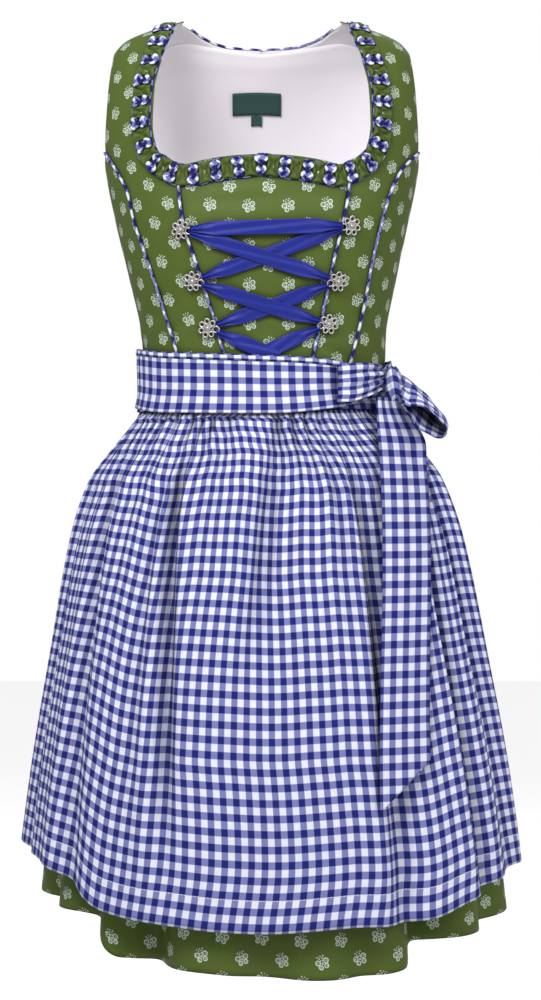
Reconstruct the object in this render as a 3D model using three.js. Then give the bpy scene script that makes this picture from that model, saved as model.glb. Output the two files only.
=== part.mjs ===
// A worn dirndl dress with its apron, hollow as on its wearer: a boned bodice with wide straps, a ruched
// neckline, piped seams and a ribbon laced through six hooks, over a gathered skirt and a check apron.
// Millimetres. +Z is up, the front faces -Y, and the origin lies midway between the tops of the shoulders.
import * as THREE from "three";

// ---- Driving sizes ----
const seamGap = 0.3; // clearance between neighbouring pieces
const bodiceCloth = 1.6; // outer cloth of the bodice, with its interlining
const liningCloth = 1.0;
const liningEase = 3.8; // how far the lining hangs inside the cloth
const skirtCloth = 1.4;
const apronCloth = 1.2;
const bandCloth = 1.5; // waistband and tie, folded double
const bowCloth = 1.2;
const ribbonCloth = 1.0;
const armholeFloor = -176; // height of the armhole's lowest point
const waistSeam = -402; // where the skirt is sewn to the bodice
const skirtLength = 612; // cut length of the skirt, waist seam to hem
const apronLength = 546; // cut length of the apron's skirt, band to hem
const apronTop = -430.5; // where the apron's gathers leave its waistband
const sectionPower = 2.3; // 2 is an ellipse, more is squarer
const shoulderRound = 2.2; // how roundly the cloth turns over the shoulder
const hungRows = [0, 0.03, 0.06, 0.11, 0.18, 0.3, 0.46, 0.64, 0.82, 1]; // shares of a hung cloth's length
const walkStep = 2; // step of the walk down the cloth that measures its length
const sideSeamTop = -151; // where the outer piped seams meet the armholes
const shoulderTurn = 0.004; // radians from the shoulder line to the strap's edge there

// The outside of the dress, as sections: half width, depth in front of and behind the shoulder line, and
// how far the section's middle stands to the right.
const bodySections = [
  { height: 0, halfWidth: 85, front: 118, back: 106, lean: 0 },
  { height: -30, halfWidth: 155, front: 118, back: 106, lean: 0 },
  { height: -52, halfWidth: 168, front: 118, back: 106, lean: 0 },
  { height: -90, halfWidth: 174, front: 118, back: 106, lean: 0 },
  { height: -130, halfWidth: 176, front: 118, back: 106, lean: 0 },
  { height: -176, halfWidth: 170, front: 119, back: 105, lean: 0 },
  { height: -225, halfWidth: 160, front: 122, back: 103, lean: 0 },
  { height: -287, halfWidth: 146, front: 113, back: 98, lean: 1 },
  { height: -349, halfWidth: 134, front: 100, back: 92, lean: 2 },
  { height: -402, halfWidth: 132, front: 97, back: 90, lean: 3 },
  { height: -430, halfWidth: 138, front: 102, back: 94, lean: 4 },
  { height: -472, halfWidth: 164, front: 127, back: 116, lean: 5 },
  { height: -503, halfWidth: 186, front: 146, back: 132, lean: 5 },
  { height: -564, halfWidth: 209, front: 167, back: 152, lean: 6 },
  { height: -688, halfWidth: 235, front: 197, back: 183, lean: 8 },
  { height: -811, halfWidth: 258, front: 217, back: 204, lean: 10 },
  { height: -918, halfWidth: 273, front: 230, back: 219, lean: 11 },
  { height: -1015, halfWidth: 284, front: 240, back: 229, lean: 12 },
];

// The straps' edges, as stations from the shoulder seam down to the neckline's corner. The same stations
// serve the left strap, mirrored.
const frontStrap = [
  { neckAcross: 85, neckHeight: -0.5, armAcross: 155, armHeight: -30 },
  { neckAcross: 95, neckHeight: -26, armAcross: 162, armHeight: -50 },
  { neckAcross: 106, neckHeight: -56, armAcross: 165.5, armHeight: -78 },
  { neckAcross: 113.5, neckHeight: -92, armAcross: 167.5, armHeight: -106 },
  { neckAcross: 115, neckHeight: -132, armAcross: 169, armHeight: -133 },
  { neckAcross: 107, neckHeight: -164, armAcross: 169, armHeight: -151 },
];
const backStrap = [
  { neckAcross: 85, neckHeight: -0.5, armAcross: 155, armHeight: -30 },
  { neckAcross: 78, neckHeight: -6, armAcross: 160, armHeight: -48 },
  { neckAcross: 62, neckHeight: -13, armAcross: 163, armHeight: -72 },
  { neckAcross: 36, neckHeight: -19, armAcross: 165, armHeight: -104 },
];
const centreBackNeck = -21;
const necklineDip = { corner: -177, middle: -167 }; // the neckline between the two inner seams

// The two piped seams of each side of the front, by height.
const frontSeams = [
  { height: -151, innerLeft: 85, innerRight: 88, outerLeft: 169, outerRight: 169 },
  { height: -177, innerLeft: 84, innerRight: 86, outerLeft: 153, outerRight: 147 },
  { height: -200, innerLeft: 86, innerRight: 91, outerLeft: 142, outerRight: 136 },
  { height: -230, innerLeft: 83, innerRight: 86, outerLeft: 135, outerRight: 127 },
  { height: -277, innerLeft: 69, innerRight: 75, outerLeft: 119, outerRight: 116 },
  { height: -326, innerLeft: 53, innerRight: 65, outerLeft: 103, outerRight: 107 },
  { height: -375, innerLeft: 39, innerRight: 54, outerLeft: 88, outerRight: 95 },
  { height: -402, innerLeft: 31, innerRight: 48, outerLeft: 80, outerRight: 88 },
];

// The hooks, and the ribbon's stretches between them. A stretch with more lift lies over one with less.
const hooks = {
  left_1: { across: -83, height: -244 },
  left_2: { across: -71, height: -297 },
  left_3: { across: -55.5, height: -346 },
  right_1: { across: 92.5, height: -239.5 },
  right_2: { across: 79, height: -297 },
  right_3: { across: 69.5, height: -341.5 },
};
const bandCrossing = { across: 4, height: -371 }; // where the last two stretches go under the tie
const laceStretches = [
  { name: "lace_top", from: "left_1", to: "right_1", lift: 6.2 },
  { name: "lace_over_1", from: "left_1", to: "right_2", lift: 4.8 },
  { name: "lace_under_1", from: "right_1", to: "left_2", lift: 3.4 },
  { name: "lace_over_2", from: "left_2", to: "right_3", lift: 4.8 },
  { name: "lace_under_2", from: "right_2", to: "left_3", lift: 3.4 },
  { name: "lace_end_left", from: "left_3", drop: 14, lift: 3.9 },
  { name: "lace_end_right", from: "right_3", drop: -14, lift: 2.8 },
];
const hookRadius = 10.5;
const hookThickness = 2;
const hookLift = 5; // clear of the piping that it is sewn over
const petals = 7;
const ribbonWidth = 15;
const ribbonPinched = 6; // its width where it is drawn through a hook

const pipingRadius = 1.5;
const ruche = { halfWidth: 11, height: 6, pitch: 11.5, lift: 0.5 };

// The neck ruche's middle line, from a shoulder down to the front's centre.
const ruchePath = [
  { across: 102, height: -7 },
  { across: 108, height: -34 },
  { across: 118, height: -62 },
  { across: 125, height: -90 },
  { across: 127, height: -128 },
  { across: 120, height: -160 },
  { across: 103, height: -178 },
  { across: 78, height: -188 },
  { across: 40, height: -183 },
  { across: 0, height: -178 },
];

// The skirt's folds, each a trough that deepens towards the hem. Angles run from the front's middle to the
// right and round the back, in degrees.
const skirtFolds = [
  { angle: -72, spread: 8, depth: 30 },
  { angle: -47, spread: 5, depth: 26 },
  { angle: -28, spread: 6.5, depth: 40 },
  { angle: -1, spread: 4.5, depth: 14 },
  { angle: 17, spread: 4, depth: 10 },
  { angle: 37, spread: 6.5, depth: 46 },
  { angle: 66, spread: 8, depth: 28 },
  { angle: 98, spread: 7, depth: 24 },
  { angle: 120, spread: 6, depth: 36 },
  { angle: 143, spread: 7, depth: 28 },
  { angle: 164, spread: 6, depth: 38 },
  { angle: 186, spread: 7, depth: 30 },
  { angle: 208, spread: 6, depth: 40 },
  { angle: 231, spread: 7, depth: 28 },
  { angle: 255, spread: 6.5, depth: 34 },
];
// How far each hem is drawn up from its level, by angle.
const skirtHem = [
  { angle: -90, raise: 45 },
  { angle: -60, raise: 45 },
  { angle: -50, raise: 38 },
  { angle: -40, raise: 6 },
  { angle: -20, raise: 0 },
  { angle: 15, raise: -9 },
  { angle: 31, raise: -4 },
  { angle: 42, raise: 16 },
  { angle: 70, raise: 22 },
  { angle: 90, raise: 26 },
  { angle: 150, raise: 12 },
  { angle: 190, raise: 8 },
  { angle: 230, raise: 24 },
  { angle: 270, raise: 45 },
];
const apronHem = [
  { angle: -101, raise: 56 },
  { angle: -67, raise: 50 },
  { angle: -52, raise: 36 },
  { angle: -40, raise: 10 },
  { angle: -26, raise: 0 },
  { angle: -12, raise: -8 },
  { angle: 10, raise: -4 },
  { angle: 35, raise: 0 },
  { angle: 47, raise: 14 },
  { angle: 58, raise: 26 },
  { angle: 70, raise: 36 },
  { angle: 92, raise: 40 },
];
// The apron's three long folds, by angle at the band and at the hem.
const apronFolds = [
  { top: -27, bottom: -20, spread: 5, depth: 12 },
  { top: 3, bottom: -8, spread: 4.5, depth: 9 },
  { top: 26, bottom: 27, spread: 6, depth: 13 },
];
const apronEdges = { left: -101, right: 92 }; // angles of the apron's side edges
const underApron = { top: 3.5, hem: 20 }; // how far the skirt stands inside the apron
const apronMargin = { near: 3, far: 16 }; // degrees beyond the apron's edges where the skirt comes back out

// The tie's wrap round the waist: its top and bottom edge by angle.
const tieWrap = [
  { angle: -180, top: -371, bottom: -428 },
  { angle: -90, top: -362, bottom: -426 },
  { angle: -45, top: -370, bottom: -434 },
  { angle: 0, top: -375, bottom: -436 },
  { angle: 30, top: -379, bottom: -429 },
  { angle: 52, top: -388, bottom: -420 },
  { angle: 90, top: -374, bottom: -426 },
  { angle: 180, top: -371, bottom: -428 },
];
const bandLift = 2; // waistband, out from the dress
const tieLift = 5.5; // tie, out from the dress

// ---- Cloth ----
const cloth = (color, roughness = 0.85) => new THREE.MeshStandardMaterial({ color, roughness, metalness: 0 });
const greenPrint = cloth(0x6b823e);
const gingham = cloth(0x8086c6);
const piping = cloth(0x6f74b8);
const satin = cloth(0x2330a0, 0.4);
const whiteLining = cloth(0xf0ecf0);
const labelCloth = cloth(0x1e4842);
const silver = new THREE.MeshStandardMaterial({ color: 0xc9c5c2, roughness: 0.35, metalness: 1 });

const dress = new THREE.Group();
function add(name, geometry, material) {
  const mesh = new THREE.Mesh(geometry, material);
  mesh.name = name;
  dress.add(mesh);
  return mesh;
}

// ---- Curves and the body's surface ----
const radians = THREE.MathUtils.degToRad;
const sides = { left: -1, right: 1 };

// A smooth value through a table's rows that never swings past them.
function through(rows, along, column, where) {
  const sorted = [...rows].sort((a, b) => a[along] - b[along]);
  const last = sorted.length - 1;
  const at = THREE.MathUtils.clamp(where, sorted[0][along], sorted[last][along]);
  const i = Math.min(last - 1, Math.max(0, sorted.findLastIndex((row) => row[along] <= at)));
  const slope = (k) =>
    (sorted[k + 1][column] - sorted[k][column]) / (sorted[k + 1][along] - sorted[k][along]);
  const tangent = (k) => {
    if (k === 0) return slope(0);
    if (k === last) return slope(last - 1);
    const product = slope(k - 1) * slope(k);
    return product <= 0 ? 0 : (2 * product) / (slope(k - 1) + slope(k));
  };
  const span = sorted[i + 1][along] - sorted[i][along];
  const t = (at - sorted[i][along]) / span;
  return (
    (2 * t ** 3 - 3 * t ** 2 + 1) * sorted[i][column] +
    (t ** 3 - 2 * t ** 2 + t) * span * tangent(i) +
    (3 * t ** 2 - 2 * t ** 3) * sorted[i + 1][column] +
    (t ** 3 - t ** 2) * span * tangent(i + 1)
  );
}

function sectionAt(height) {
  const value = (column) => through(bodySections, "height", column, height);
  const rise = Math.max(0, 1 - height / armholeFloor);
  const over = height > armholeFloor ? (1 - rise ** shoulderRound) ** (1 / shoulderRound) : 1;
  return {
    halfWidth: value("halfWidth"),
    front: value("front") * over,
    back: value("back") * over,
    lean: value("lean"),
  };
}

// The point of the body's surface at an angle from the front's middle, lifted outwards.
function bodyPoint(angle, height, lift = 0) {
  const section = sectionAt(height);
  const turned = (value) => Math.sign(value) * Math.abs(value) ** (2 / sectionPower);
  const across = turned(Math.sin(angle));
  const ahead = turned(Math.cos(angle));
  const depth = ahead >= 0 ? section.front : section.back;
  const out = new THREE.Vector2(across / section.halfWidth, -ahead / Math.max(depth, 1)).normalize();
  return new THREE.Vector3(
    section.lean + section.halfWidth * across + out.x * lift,
    -depth * ahead + out.y * lift,
    height,
  );
}

// The angle at which the front of the body has a given place across.
function angleAcross(across, height) {
  const section = sectionAt(height);
  const share = THREE.MathUtils.clamp((across - section.lean) / section.halfWidth, -1, 1);
  return Math.sign(share) * Math.asin(Math.abs(share) ** (sectionPower / 2));
}

// The surface's outward direction, from points a little way off.
function bodyNormal(angle, height) {
  const small = 0.02;
  const step = 1;
  const turn = bodyPoint(angle + small, height).sub(bodyPoint(angle - small, height));
  const drop = bodyPoint(angle, height - step).sub(bodyPoint(angle, Math.min(-0.5, height + step)));
  return drop.cross(turn).normalize();
}

// ---- Solids from grids and sweeps ----
function solidFrom(points, quads, caps = []) {
  const index = [];
  for (const [a, b, c, d] of quads) index.push(a, b, c, a, c, d);
  for (const cap of caps) for (let k = 1; k < cap.length - 1; k += 1) index.push(cap[0], cap[k], cap[k + 1]);
  let volume = 0;
  for (let k = 0; k < index.length; k += 3) {
    const [p, q, r] = [points[index[k]], points[index[k + 1]], points[index[k + 2]]];
    volume += p.dot(q.clone().cross(r));
  }
  if (volume < 0) index.reverse();
  return new THREE.BufferGeometry().setFromPoints(points).setIndex(index);
}

// A wall of cloth: its outside is the grid, rows downwards and columns to the right as seen from outside,
// and its inside lies a thickness behind it. A ring's last column joins its first.
function wall(grid, thickness, ring = false, inside = null) {
  const rows = grid.length;
  const columns = grid[0].length;
  const at = (row, column) => grid[row][ring ? (column + columns) % columns : column];
  const behind = inside ?? grid.map((line, row) =>
    line.map((point, column) => {
      const before = ring ? column - 1 : Math.max(0, column - 1);
      const after = ring ? column + 1 : Math.min(columns - 1, column + 1);
      const across = at(row, after).clone().sub(at(row, before));
      const down = at(Math.min(rows - 1, row + 1), column).clone().sub(at(Math.max(0, row - 1), column));
      return point.clone().addScaledVector(down.cross(across).normalize(), -thickness);
    }),
  );
  const points = [...grid.flat(), ...behind.flat()];
  const outer = (row, column) => row * columns + (column % columns);
  const inner = (row, column) => rows * columns + outer(row, column);
  const quads = [];
  const lastColumn = ring ? columns : columns - 1;
  for (let column = 0; column < lastColumn; column += 1) {
    for (let row = 0; row < rows - 1; row += 1) {
      const corners = [[row, column], [row + 1, column], [row + 1, column + 1], [row, column + 1]];
      quads.push(corners.map(([r, c]) => outer(r, c)));
      quads.push([0, 3, 2, 1].map((k) => inner(...corners[k])));
    }
    quads.push([outer(0, column), outer(0, column + 1), inner(0, column + 1), inner(0, column)]);
    const foot = rows - 1;
    quads.push([outer(foot, column), inner(foot, column), inner(foot, column + 1), outer(foot, column + 1)]);
  }
  if (!ring) {
    const edge = columns - 1;
    for (let row = 0; row < rows - 1; row += 1) {
      quads.push([outer(row, 0), inner(row, 0), inner(row + 1, 0), outer(row + 1, 0)]);
      quads.push([outer(row, edge), outer(row + 1, edge), inner(row + 1, edge), inner(row, edge)]);
    }
  }
  return solidFrom(points, quads);
}

// A closed profile, in across and out, carried along stations of {point, across, out, profile}.
function sweep(stations) {
  const points = stations.flatMap(({ point, across, out, profile }) =>
    profile.map(([a, o]) => point.clone().addScaledVector(across, a).addScaledVector(out, o)),
  );
  const size = stations[0].profile.length;
  const quads = [];
  for (let s = 0; s < stations.length - 1; s += 1) {
    for (let k = 0; k < size; k += 1) {
      const next = (k + 1) % size;
      quads.push([s * size + k, s * size + next, (s + 1) * size + next, (s + 1) * size + k]);
    }
  }
  const first = Array.from({ length: size }, (_, k) => size - 1 - k);
  const last = Array.from({ length: size }, (_, k) => (stations.length - 1) * size + k);
  return solidFrom(points, quads, [first, last]);
}

// A strip that lies on the body along [angle, height] places, with the profile given for each share of it.
function stripOnBody(places, lift, profileAt) {
  const points = places.map(([angle, height]) => bodyPoint(angle, height));
  const stations = places.map(([angle, height], k) => {
    const out = bodyNormal(angle, height);
    const along = points[Math.min(points.length - 1, k + 1)].clone().sub(points[Math.max(0, k - 1)]);
    const across = along.normalize().cross(out).normalize();
    const share = k / (places.length - 1);
    return { point: points[k].clone().addScaledVector(out, lift), across, out, profile: profileAt(share, k) };
  });
  return sweep(stations);
}

// A wall that follows the body over a grid of [angle, height] places. It is as thick as said along the
// body's own direction outwards, so that neighbouring panels keep their gap right through.
function bodyWall(places, thickness, lift = 0) {
  const layer = (depth) =>
    places.map((line) =>
      line.map(([angle, height]) =>
        bodyPoint(angle, height).addScaledVector(bodyNormal(angle, height), lift - depth),
      ),
    );
  return wall(layer(0), thickness, false, layer(thickness));
}

// ---- Bodice ----
const seamAt = (name, side, height) => {
  const column = name + (side === sides.left ? "Left" : "Right");
  return side * through(frontSeams, "height", column, height);
};

// A panel ruled between two edges, each a list of [angle, height]. Each edge is drawn in by its share of the
// gap, taken a little large because the edges run aslant.
const edgeGap = 0.8;
function bodicePanel(inner, outer, columns, side) {
  return inner.map(([innerAngle, innerHeight], row) => {
    const [outerAngle, outerHeight] = outer[row];
    const drawnIn = (edgeGap * seamGap) / sectionAt(outerHeight).halfWidth;
    const toward = Math.sign(outerAngle - innerAngle) || side;
    const line = Array.from({ length: columns + 1 }, (_, column) => {
      const share = column / columns;
      const start = innerAngle + toward * drawnIn;
      const end = outerAngle - toward * drawnIn;
      const height = THREE.MathUtils.lerp(innerHeight, outerHeight, share);
      return [THREE.MathUtils.lerp(start, end, share), height];
    });
    return toward < 0 ? line.reverse() : line;
  });
}

const panelHeights = [necklineDip.corner, -202, -230, -262, -294, -326, -364, waistSeam + seamGap];
for (const [name, side] of Object.entries(sides)) {
  const onFront = (across, height) => [angleAcross(across, height), height];
  const strapInner = frontStrap.map((s) => onFront(side * s.neckAcross, s.neckHeight));
  const strapOuter = frontStrap.map((s) => onFront(side * s.armAcross, s.armHeight));
  const shoulder = side * (Math.PI / 2 - shoulderTurn);
  strapInner[0][0] = shoulder;
  strapOuter[0][0] = shoulder;
  const seamInner = panelHeights.map((z) => onFront(seamAt("inner", side, z), z));
  const seamOuter = panelHeights.map((z) => onFront(seamAt("outer", side, z), z));
  const inner = [...strapInner, ...seamInner];
  const outer = [...strapOuter, ...seamOuter];
  add("front_" + name, bodyWall(bodicePanel(inner, outer, 5, side), bodiceCloth), greenPrint);

  const sideHeights = [sideSeamTop, ...panelHeights];
  const sideInner = sideHeights.map((z) => onFront(seamAt("outer", side, z), z));
  const sideSeam = side * (Math.PI / 2);
  const underArm = (z) => Math.min(z, armholeFloor + (z - sideSeamTop) / 5);
  const sideOuter = sideHeights.map((z) => [sideSeam, underArm(z)]);
  add("side_" + name, bodyWall(bodicePanel(sideInner, sideOuter, 4, side), bodiceCloth), greenPrint);

  const onBack = (across, height) => [side * Math.PI - angleAcross(side * across, height), height];
  const backInner = backStrap.map((s) => onBack(s.neckAcross, s.neckHeight));
  const backOuter = backStrap.map((s) => onBack(s.armAcross, s.armHeight));
  const backShoulder = side * (Math.PI / 2 + shoulderTurn);
  backInner[0][0] = backShoulder;
  backOuter[0][0] = backShoulder;
  const backRows = [
    { neck: centreBackNeck, arm: -128 },
    { neck: -40, arm: -148 },
    { neck: -70, arm: -164 },
    { neck: -115, arm: armholeFloor },
    { neck: -180, arm: -210 },
    { neck: -260, arm: -272 },
    { neck: -330, arm: -335 },
    { neck: waistSeam + seamGap, arm: waistSeam + seamGap },
  ];
  const armAcross = [166.5, 168.5, 170];
  for (const [k, { neck, arm }] of backRows.entries()) {
    backInner.push([side * Math.PI, neck]);
    backOuter.push(k < armAcross.length ? onBack(armAcross[k], arm) : [side * (Math.PI / 2), arm]);
  }
  add("back_" + name, bodyWall(bodicePanel(backOuter, backInner, 6, side), bodiceCloth), greenPrint);
}

{
  const columns = 8;
  const grid = panelHeights.map((height, row) => {
    const drawnIn = (edgeGap * seamGap) / sectionAt(height).halfWidth;
    const left = angleAcross(seamAt("inner", sides.left, height), height) + drawnIn;
    const right = angleAcross(seamAt("inner", sides.right, height), height) - drawnIn;
    return Array.from({ length: columns + 1 }, (_, column) => {
      const share = column / columns;
      const arch = row === 0 ? (necklineDip.middle - necklineDip.corner) * Math.sin(Math.PI * share) : 0;
      return [THREE.MathUtils.lerp(left, right, share), height + arch];
    });
  });
  add("front_centre", bodyWall(grid, bodiceCloth), greenPrint);
}

// ---- Lining of the back, with the woven label and its size tab ----
{
  const lift = -(bodiceCloth + liningEase);
  const reach = 66; // degrees each side of the centre back
  const neckCurve = [
    { off: 0, height: centreBackNeck - 2 },
    { off: 25, height: -17 },
    { off: 40, height: -15 },
    { off: reach, height: -42 },
  ];
  const columns = 18;
  const shares = [0, 0.05, 0.12, 0.25, 0.5, 0.75, 1];
  const grid = shares.map((share) =>
    Array.from({ length: columns + 1 }, (_, column) => {
      const off = THREE.MathUtils.lerp(-reach, reach, column / columns);
      const top = through(neckCurve, "off", "height", Math.abs(off));
      return [radians(180 + off), THREE.MathUtils.lerp(top, waistSeam + 4, share)];
    }),
  );
  add("lining_back", bodyWall(grid, liningCloth, lift), whiteLining);

  const labelClear = 2.4;
  const patches = [
    { name: "label", left: -34.5, right: 21.5, top: -61, bottom: -86 },
    { name: "size_tab", left: -13, right: -0.5, top: -86.5, bottom: -98 },
  ];
  const labelLift = lift - liningCloth - labelClear;
  for (const { name, left, right, top, bottom } of patches) {
    const across = [left, (left + right) / 2, right];
    const grid = [top, bottom].map((height) =>
      [...across].reverse().map((x) => [Math.PI - angleAcross(x, height), height]),
    );
    add(name, bodyWall(grid, liningCloth, labelLift), labelCloth);
  }
}

// ---- Piping ----
const pipingProfile = Array.from({ length: 6 }, (_, k) => {
  const turn = (k / 6) * 2 * Math.PI;
  return [pipingRadius * Math.cos(turn), pipingRadius * Math.sin(turn)];
});
const pipingLift = pipingRadius + 2.5 * seamGap;
const pipedHeights = {
  inner: [-203, -225, -250, -275, -300, -326, -352, -380],
  outer: [-153, -165, -180, -202, -230, -262, -294, -326, -352, -380],
};
for (const [seam, heights] of Object.entries(pipedHeights)) {
  for (const [name, side] of Object.entries(sides)) {
    const places = heights.map((z) => [angleAcross(seamAt(seam, side, z), z), z]);
    add("piping_" + seam + "_" + name, stripOnBody(places, pipingLift, () => pipingProfile), piping);
  }
}
{
  const backNeck = [...backStrap.slice(1), { neckAcross: 0, neckHeight: centreBackNeck }];
  const half = backNeck.map((s) => [Math.PI - angleAcross(s.neckAcross, s.neckHeight), s.neckHeight]);
  const other = half.slice(0, -1).reverse().map(([angle, height]) => [2 * Math.PI - angle, height]);
  const places = [...half, ...other];
  add("piping_back_neck", stripOnBody(places, pipingLift, () => pipingProfile), piping);
}

// ---- Neck ruche: a padded strip pinched at every unit ----
{
  const halfLine = new THREE.SplineCurve(ruchePath.map((p) => new THREE.Vector2(p.across, p.height)));
  const count = Math.round(halfLine.getLength() / ruche.pitch);
  const half = halfLine.getSpacedPoints(count);
  const mirrored = half.slice(0, -1).map((p) => new THREE.Vector2(-p.x, p.y));
  const line = [...mirrored, ...half.reverse()];
  const places = line.map((p) => [angleAcross(p.x, p.y), p.y]);
  const profileAt = (share, k) => {
    const puff = k % 2 ? 1 : 0.75;
    const [w, h] = [ruche.halfWidth * (0.9 + 0.1 * puff), ruche.height * puff];
    return [[-w, 0], [w, 0], [w * 0.8, h * 0.75], [w * 0.25, h], [-w * 0.25, h], [-w * 0.8, h * 0.75]];
  };
  add("neck_ruche", stripOnBody(places, ruche.lift, profileAt), greenPrint);
}

// ---- Hooks: openwork rosettes, one petal towards the lacing ----
function rosette() {
  const outline = new THREE.Shape();
  const steps = petals * 4;
  for (let k = 0; k <= steps; k += 1) {
    const turn = (k / steps) * 2 * Math.PI;
    const reach = hookRadius * (0.9 + 0.1 * Math.cos(petals * turn));
    outline[k === 0 ? "moveTo" : "lineTo"](reach * Math.cos(turn), reach * Math.sin(turn));
  }
  for (let k = 0; k < petals; k += 1) {
    const turn = (k / petals) * 2 * Math.PI;
    const hole = new THREE.Path();
    hole.absarc(0.66 * hookRadius * Math.cos(turn), 0.66 * hookRadius * Math.sin(turn), 1.8, 0, 2 * Math.PI);
    outline.holes.push(hole);
  }
  return new THREE.ExtrudeGeometry(outline, { depth: hookThickness, bevelEnabled: false, curveSegments: 3 });
}
for (const [name, { across, height }] of Object.entries(hooks)) {
  const angle = angleAcross(across, height);
  const out = bodyNormal(angle, height);
  const inward = new THREE.Vector3(-Math.sign(across), 0, 0);
  const upward = out.clone().cross(inward).normalize();
  const mesh = add("hook_" + name, rosette(), silver);
  mesh.setRotationFromMatrix(new THREE.Matrix4().makeBasis(upward.clone().cross(out), upward, out));
  mesh.position.copy(bodyPoint(angle, height)).addScaledVector(out, hookLift);
}

// ---- Lacing ----
for (const { name, from, to, drop, lift } of laceStretches) {
  const start = new THREE.Vector2(hooks[from].across, hooks[from].height);
  const end = to
    ? new THREE.Vector2(hooks[to].across, hooks[to].height)
    : new THREE.Vector2(bandCrossing.across + drop, bandCrossing.height);
  const along = end.clone().sub(start).normalize();
  const clear = hookRadius + 2;
  start.addScaledVector(along, clear);
  if (to) end.addScaledVector(along, -clear);
  const steps = to ? 8 : 4;
  const places = Array.from({ length: steps + 1 }, (_, k) => {
    const p = start.clone().lerp(end, k / steps);
    return [angleAcross(p.x, p.y), p.y];
  });
  const spread = (share) => {
    const fromHook = Math.min(share, to ? 1 - share : 1) * (to ? 4 : 2);
    return THREE.MathUtils.lerp(ribbonPinched, ribbonWidth, Math.min(1, fromHook)) / 2;
  };
  const profileAt = (share) => {
    const w = spread(share);
    return [[-w, 0], [w, 0], [w, ribbonCloth], [-w, ribbonCloth]];
  };
  add(name, stripOnBody(places, lift, profileAt), satin);
}

// ---- Skirt and apron: cloth of one length hung from the waist, walked down column by column ----
function hang(surface, angle, top, length) {
  const points = [surface(angle, top, 0)];
  let walked = 0;
  let height = top;
  let previous = points[0];
  while (points.length < hungRows.length) {
    height -= walkStep;
    const next = surface(angle, height, walked / length);
    walked += next.distanceTo(previous);
    previous = next;
    if (walked >= length * hungRows[points.length]) points.push(next);
  }
  return points;
}

function hungWall(surface, angles, top, length, hem, thickness) {
  const columns = angles.map((angle) => {
    const raise = through(hem, "angle", "raise", THREE.MathUtils.radToDeg(angle));
    return hang(surface, angle, top, length - raise);
  });
  return wall(columns[0].map((_, row) => columns.map((column) => column[row])), thickness);
}

const trough = (degrees, middle, spread) => {
  const off = THREE.MathUtils.euclideanModulo(degrees - middle + 180, 360) - 180;
  return Math.exp(-((off / spread) ** 2));
};

function apronSink(angle, fallen) {
  const degrees = THREE.MathUtils.radToDeg(angle);
  const grown = Math.min(1, fallen * 3); // full depth from a third of the way down
  return apronFolds.reduce(
    (sum, { top, bottom, spread, depth }) =>
      sum + grown * depth * trough(degrees, THREE.MathUtils.lerp(top, bottom, fallen), spread),
    0,
  );
}

const apronSurface = (angle, height, fallen) => bodyPoint(angle, height, -apronSink(angle, fallen));

// Under the apron the skirt stands inside it, by more towards the hem, and its folds sink further in.
function skirtSurface(angle, height, fallen) {
  const degrees = THREE.MathUtils.radToDeg(angle);
  const grown = fallen ** 1.2;
  const folds = skirtFolds.reduce((sum, f) => sum + f.depth * grown * trough(degrees, f.angle, f.spread), 0);
  const turned = THREE.MathUtils.euclideanModulo(degrees + 180, 360) - 180;
  const { near, far } = apronMargin;
  const pastLeft = THREE.MathUtils.smoothstep(turned, apronEdges.left - far, apronEdges.left - near);
  const pastRight = THREE.MathUtils.smoothstep(turned, apronEdges.right + near, apronEdges.right + far);
  const inFront = pastLeft * (1 - pastRight);
  const tucked = THREE.MathUtils.lerp(underApron.top, underApron.hem, Math.min(1, fallen * 2));
  const fromSeam = Math.min(1, fallen * 14); // nothing at the waist seam itself
  return bodyPoint(angle, height, -folds - inFront * tucked * fromSeam);
}

const spreadAngles = (from, to, count) =>
  Array.from({ length: count + 1 }, (_, k) => radians(THREE.MathUtils.lerp(from, to, k / count)));
const sideGap = 0.08; // degrees
const skirtTop = waistSeam - seamGap;
add(
  "skirt_front",
  hungWall(
    skirtSurface,
    spreadAngles(-90 + sideGap, 90 - sideGap, 36),
    skirtTop,
    skirtLength,
    skirtHem,
    skirtCloth,
  ),
  greenPrint,
);
add(
  "skirt_back",
  hungWall(
    skirtSurface,
    spreadAngles(90 + sideGap, 270 - sideGap, 36),
    skirtTop,
    skirtLength,
    skirtHem,
    skirtCloth,
  ),
  greenPrint,
);
add(
  "apron_panel",
  hungWall(
    apronSurface,
    spreadAngles(apronEdges.left, apronEdges.right, 38),
    apronTop,
    apronLength,
    apronHem,
    apronCloth,
  ),
  gingham,
);

// ---- Apron waistband and the tie wrapped over it ----
{
  const angles = spreadAngles(apronEdges.left + 4, apronEdges.right - 4, 24);
  const heights = [-388, -402, -416, apronTop + seamGap];
  const grid = heights.map((height) => angles.map((a) => bodyPoint(a, height, bandLift + bandCloth)));
  add("apron_waistband", wall(grid, bandCloth), gingham);

  const ring = spreadAngles(-180, 180, 40).slice(0, -1);
  const tie = [0, 0.5, 1].map((share) =>
    ring.map((angle) => {
      const edge = (column) => through(tieWrap, "angle", column, THREE.MathUtils.radToDeg(angle));
      return bodyPoint(angle, THREE.MathUtils.lerp(edge("top"), edge("bottom"), share), tieLift + bandCloth);
    }),
  );
  add("apron_tie_wrap", wall(tie, bandCloth, true), gingham);
}

// ---- Bow: knot, flattened inner loop, open outer loop and one tail ----
const knot = { across: 141, ahead: -66, height: -402, width: 20, depth: 20, tall: 32 };
{
  const geometry = new THREE.SphereGeometry(0.5, 10, 7).scale(knot.width, knot.depth, knot.tall);
  geometry.deleteAttribute("uv");
  const mesh = add("bow_knot", geometry, gingham);
  mesh.position.set(knot.across, knot.ahead, knot.height);
}

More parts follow.
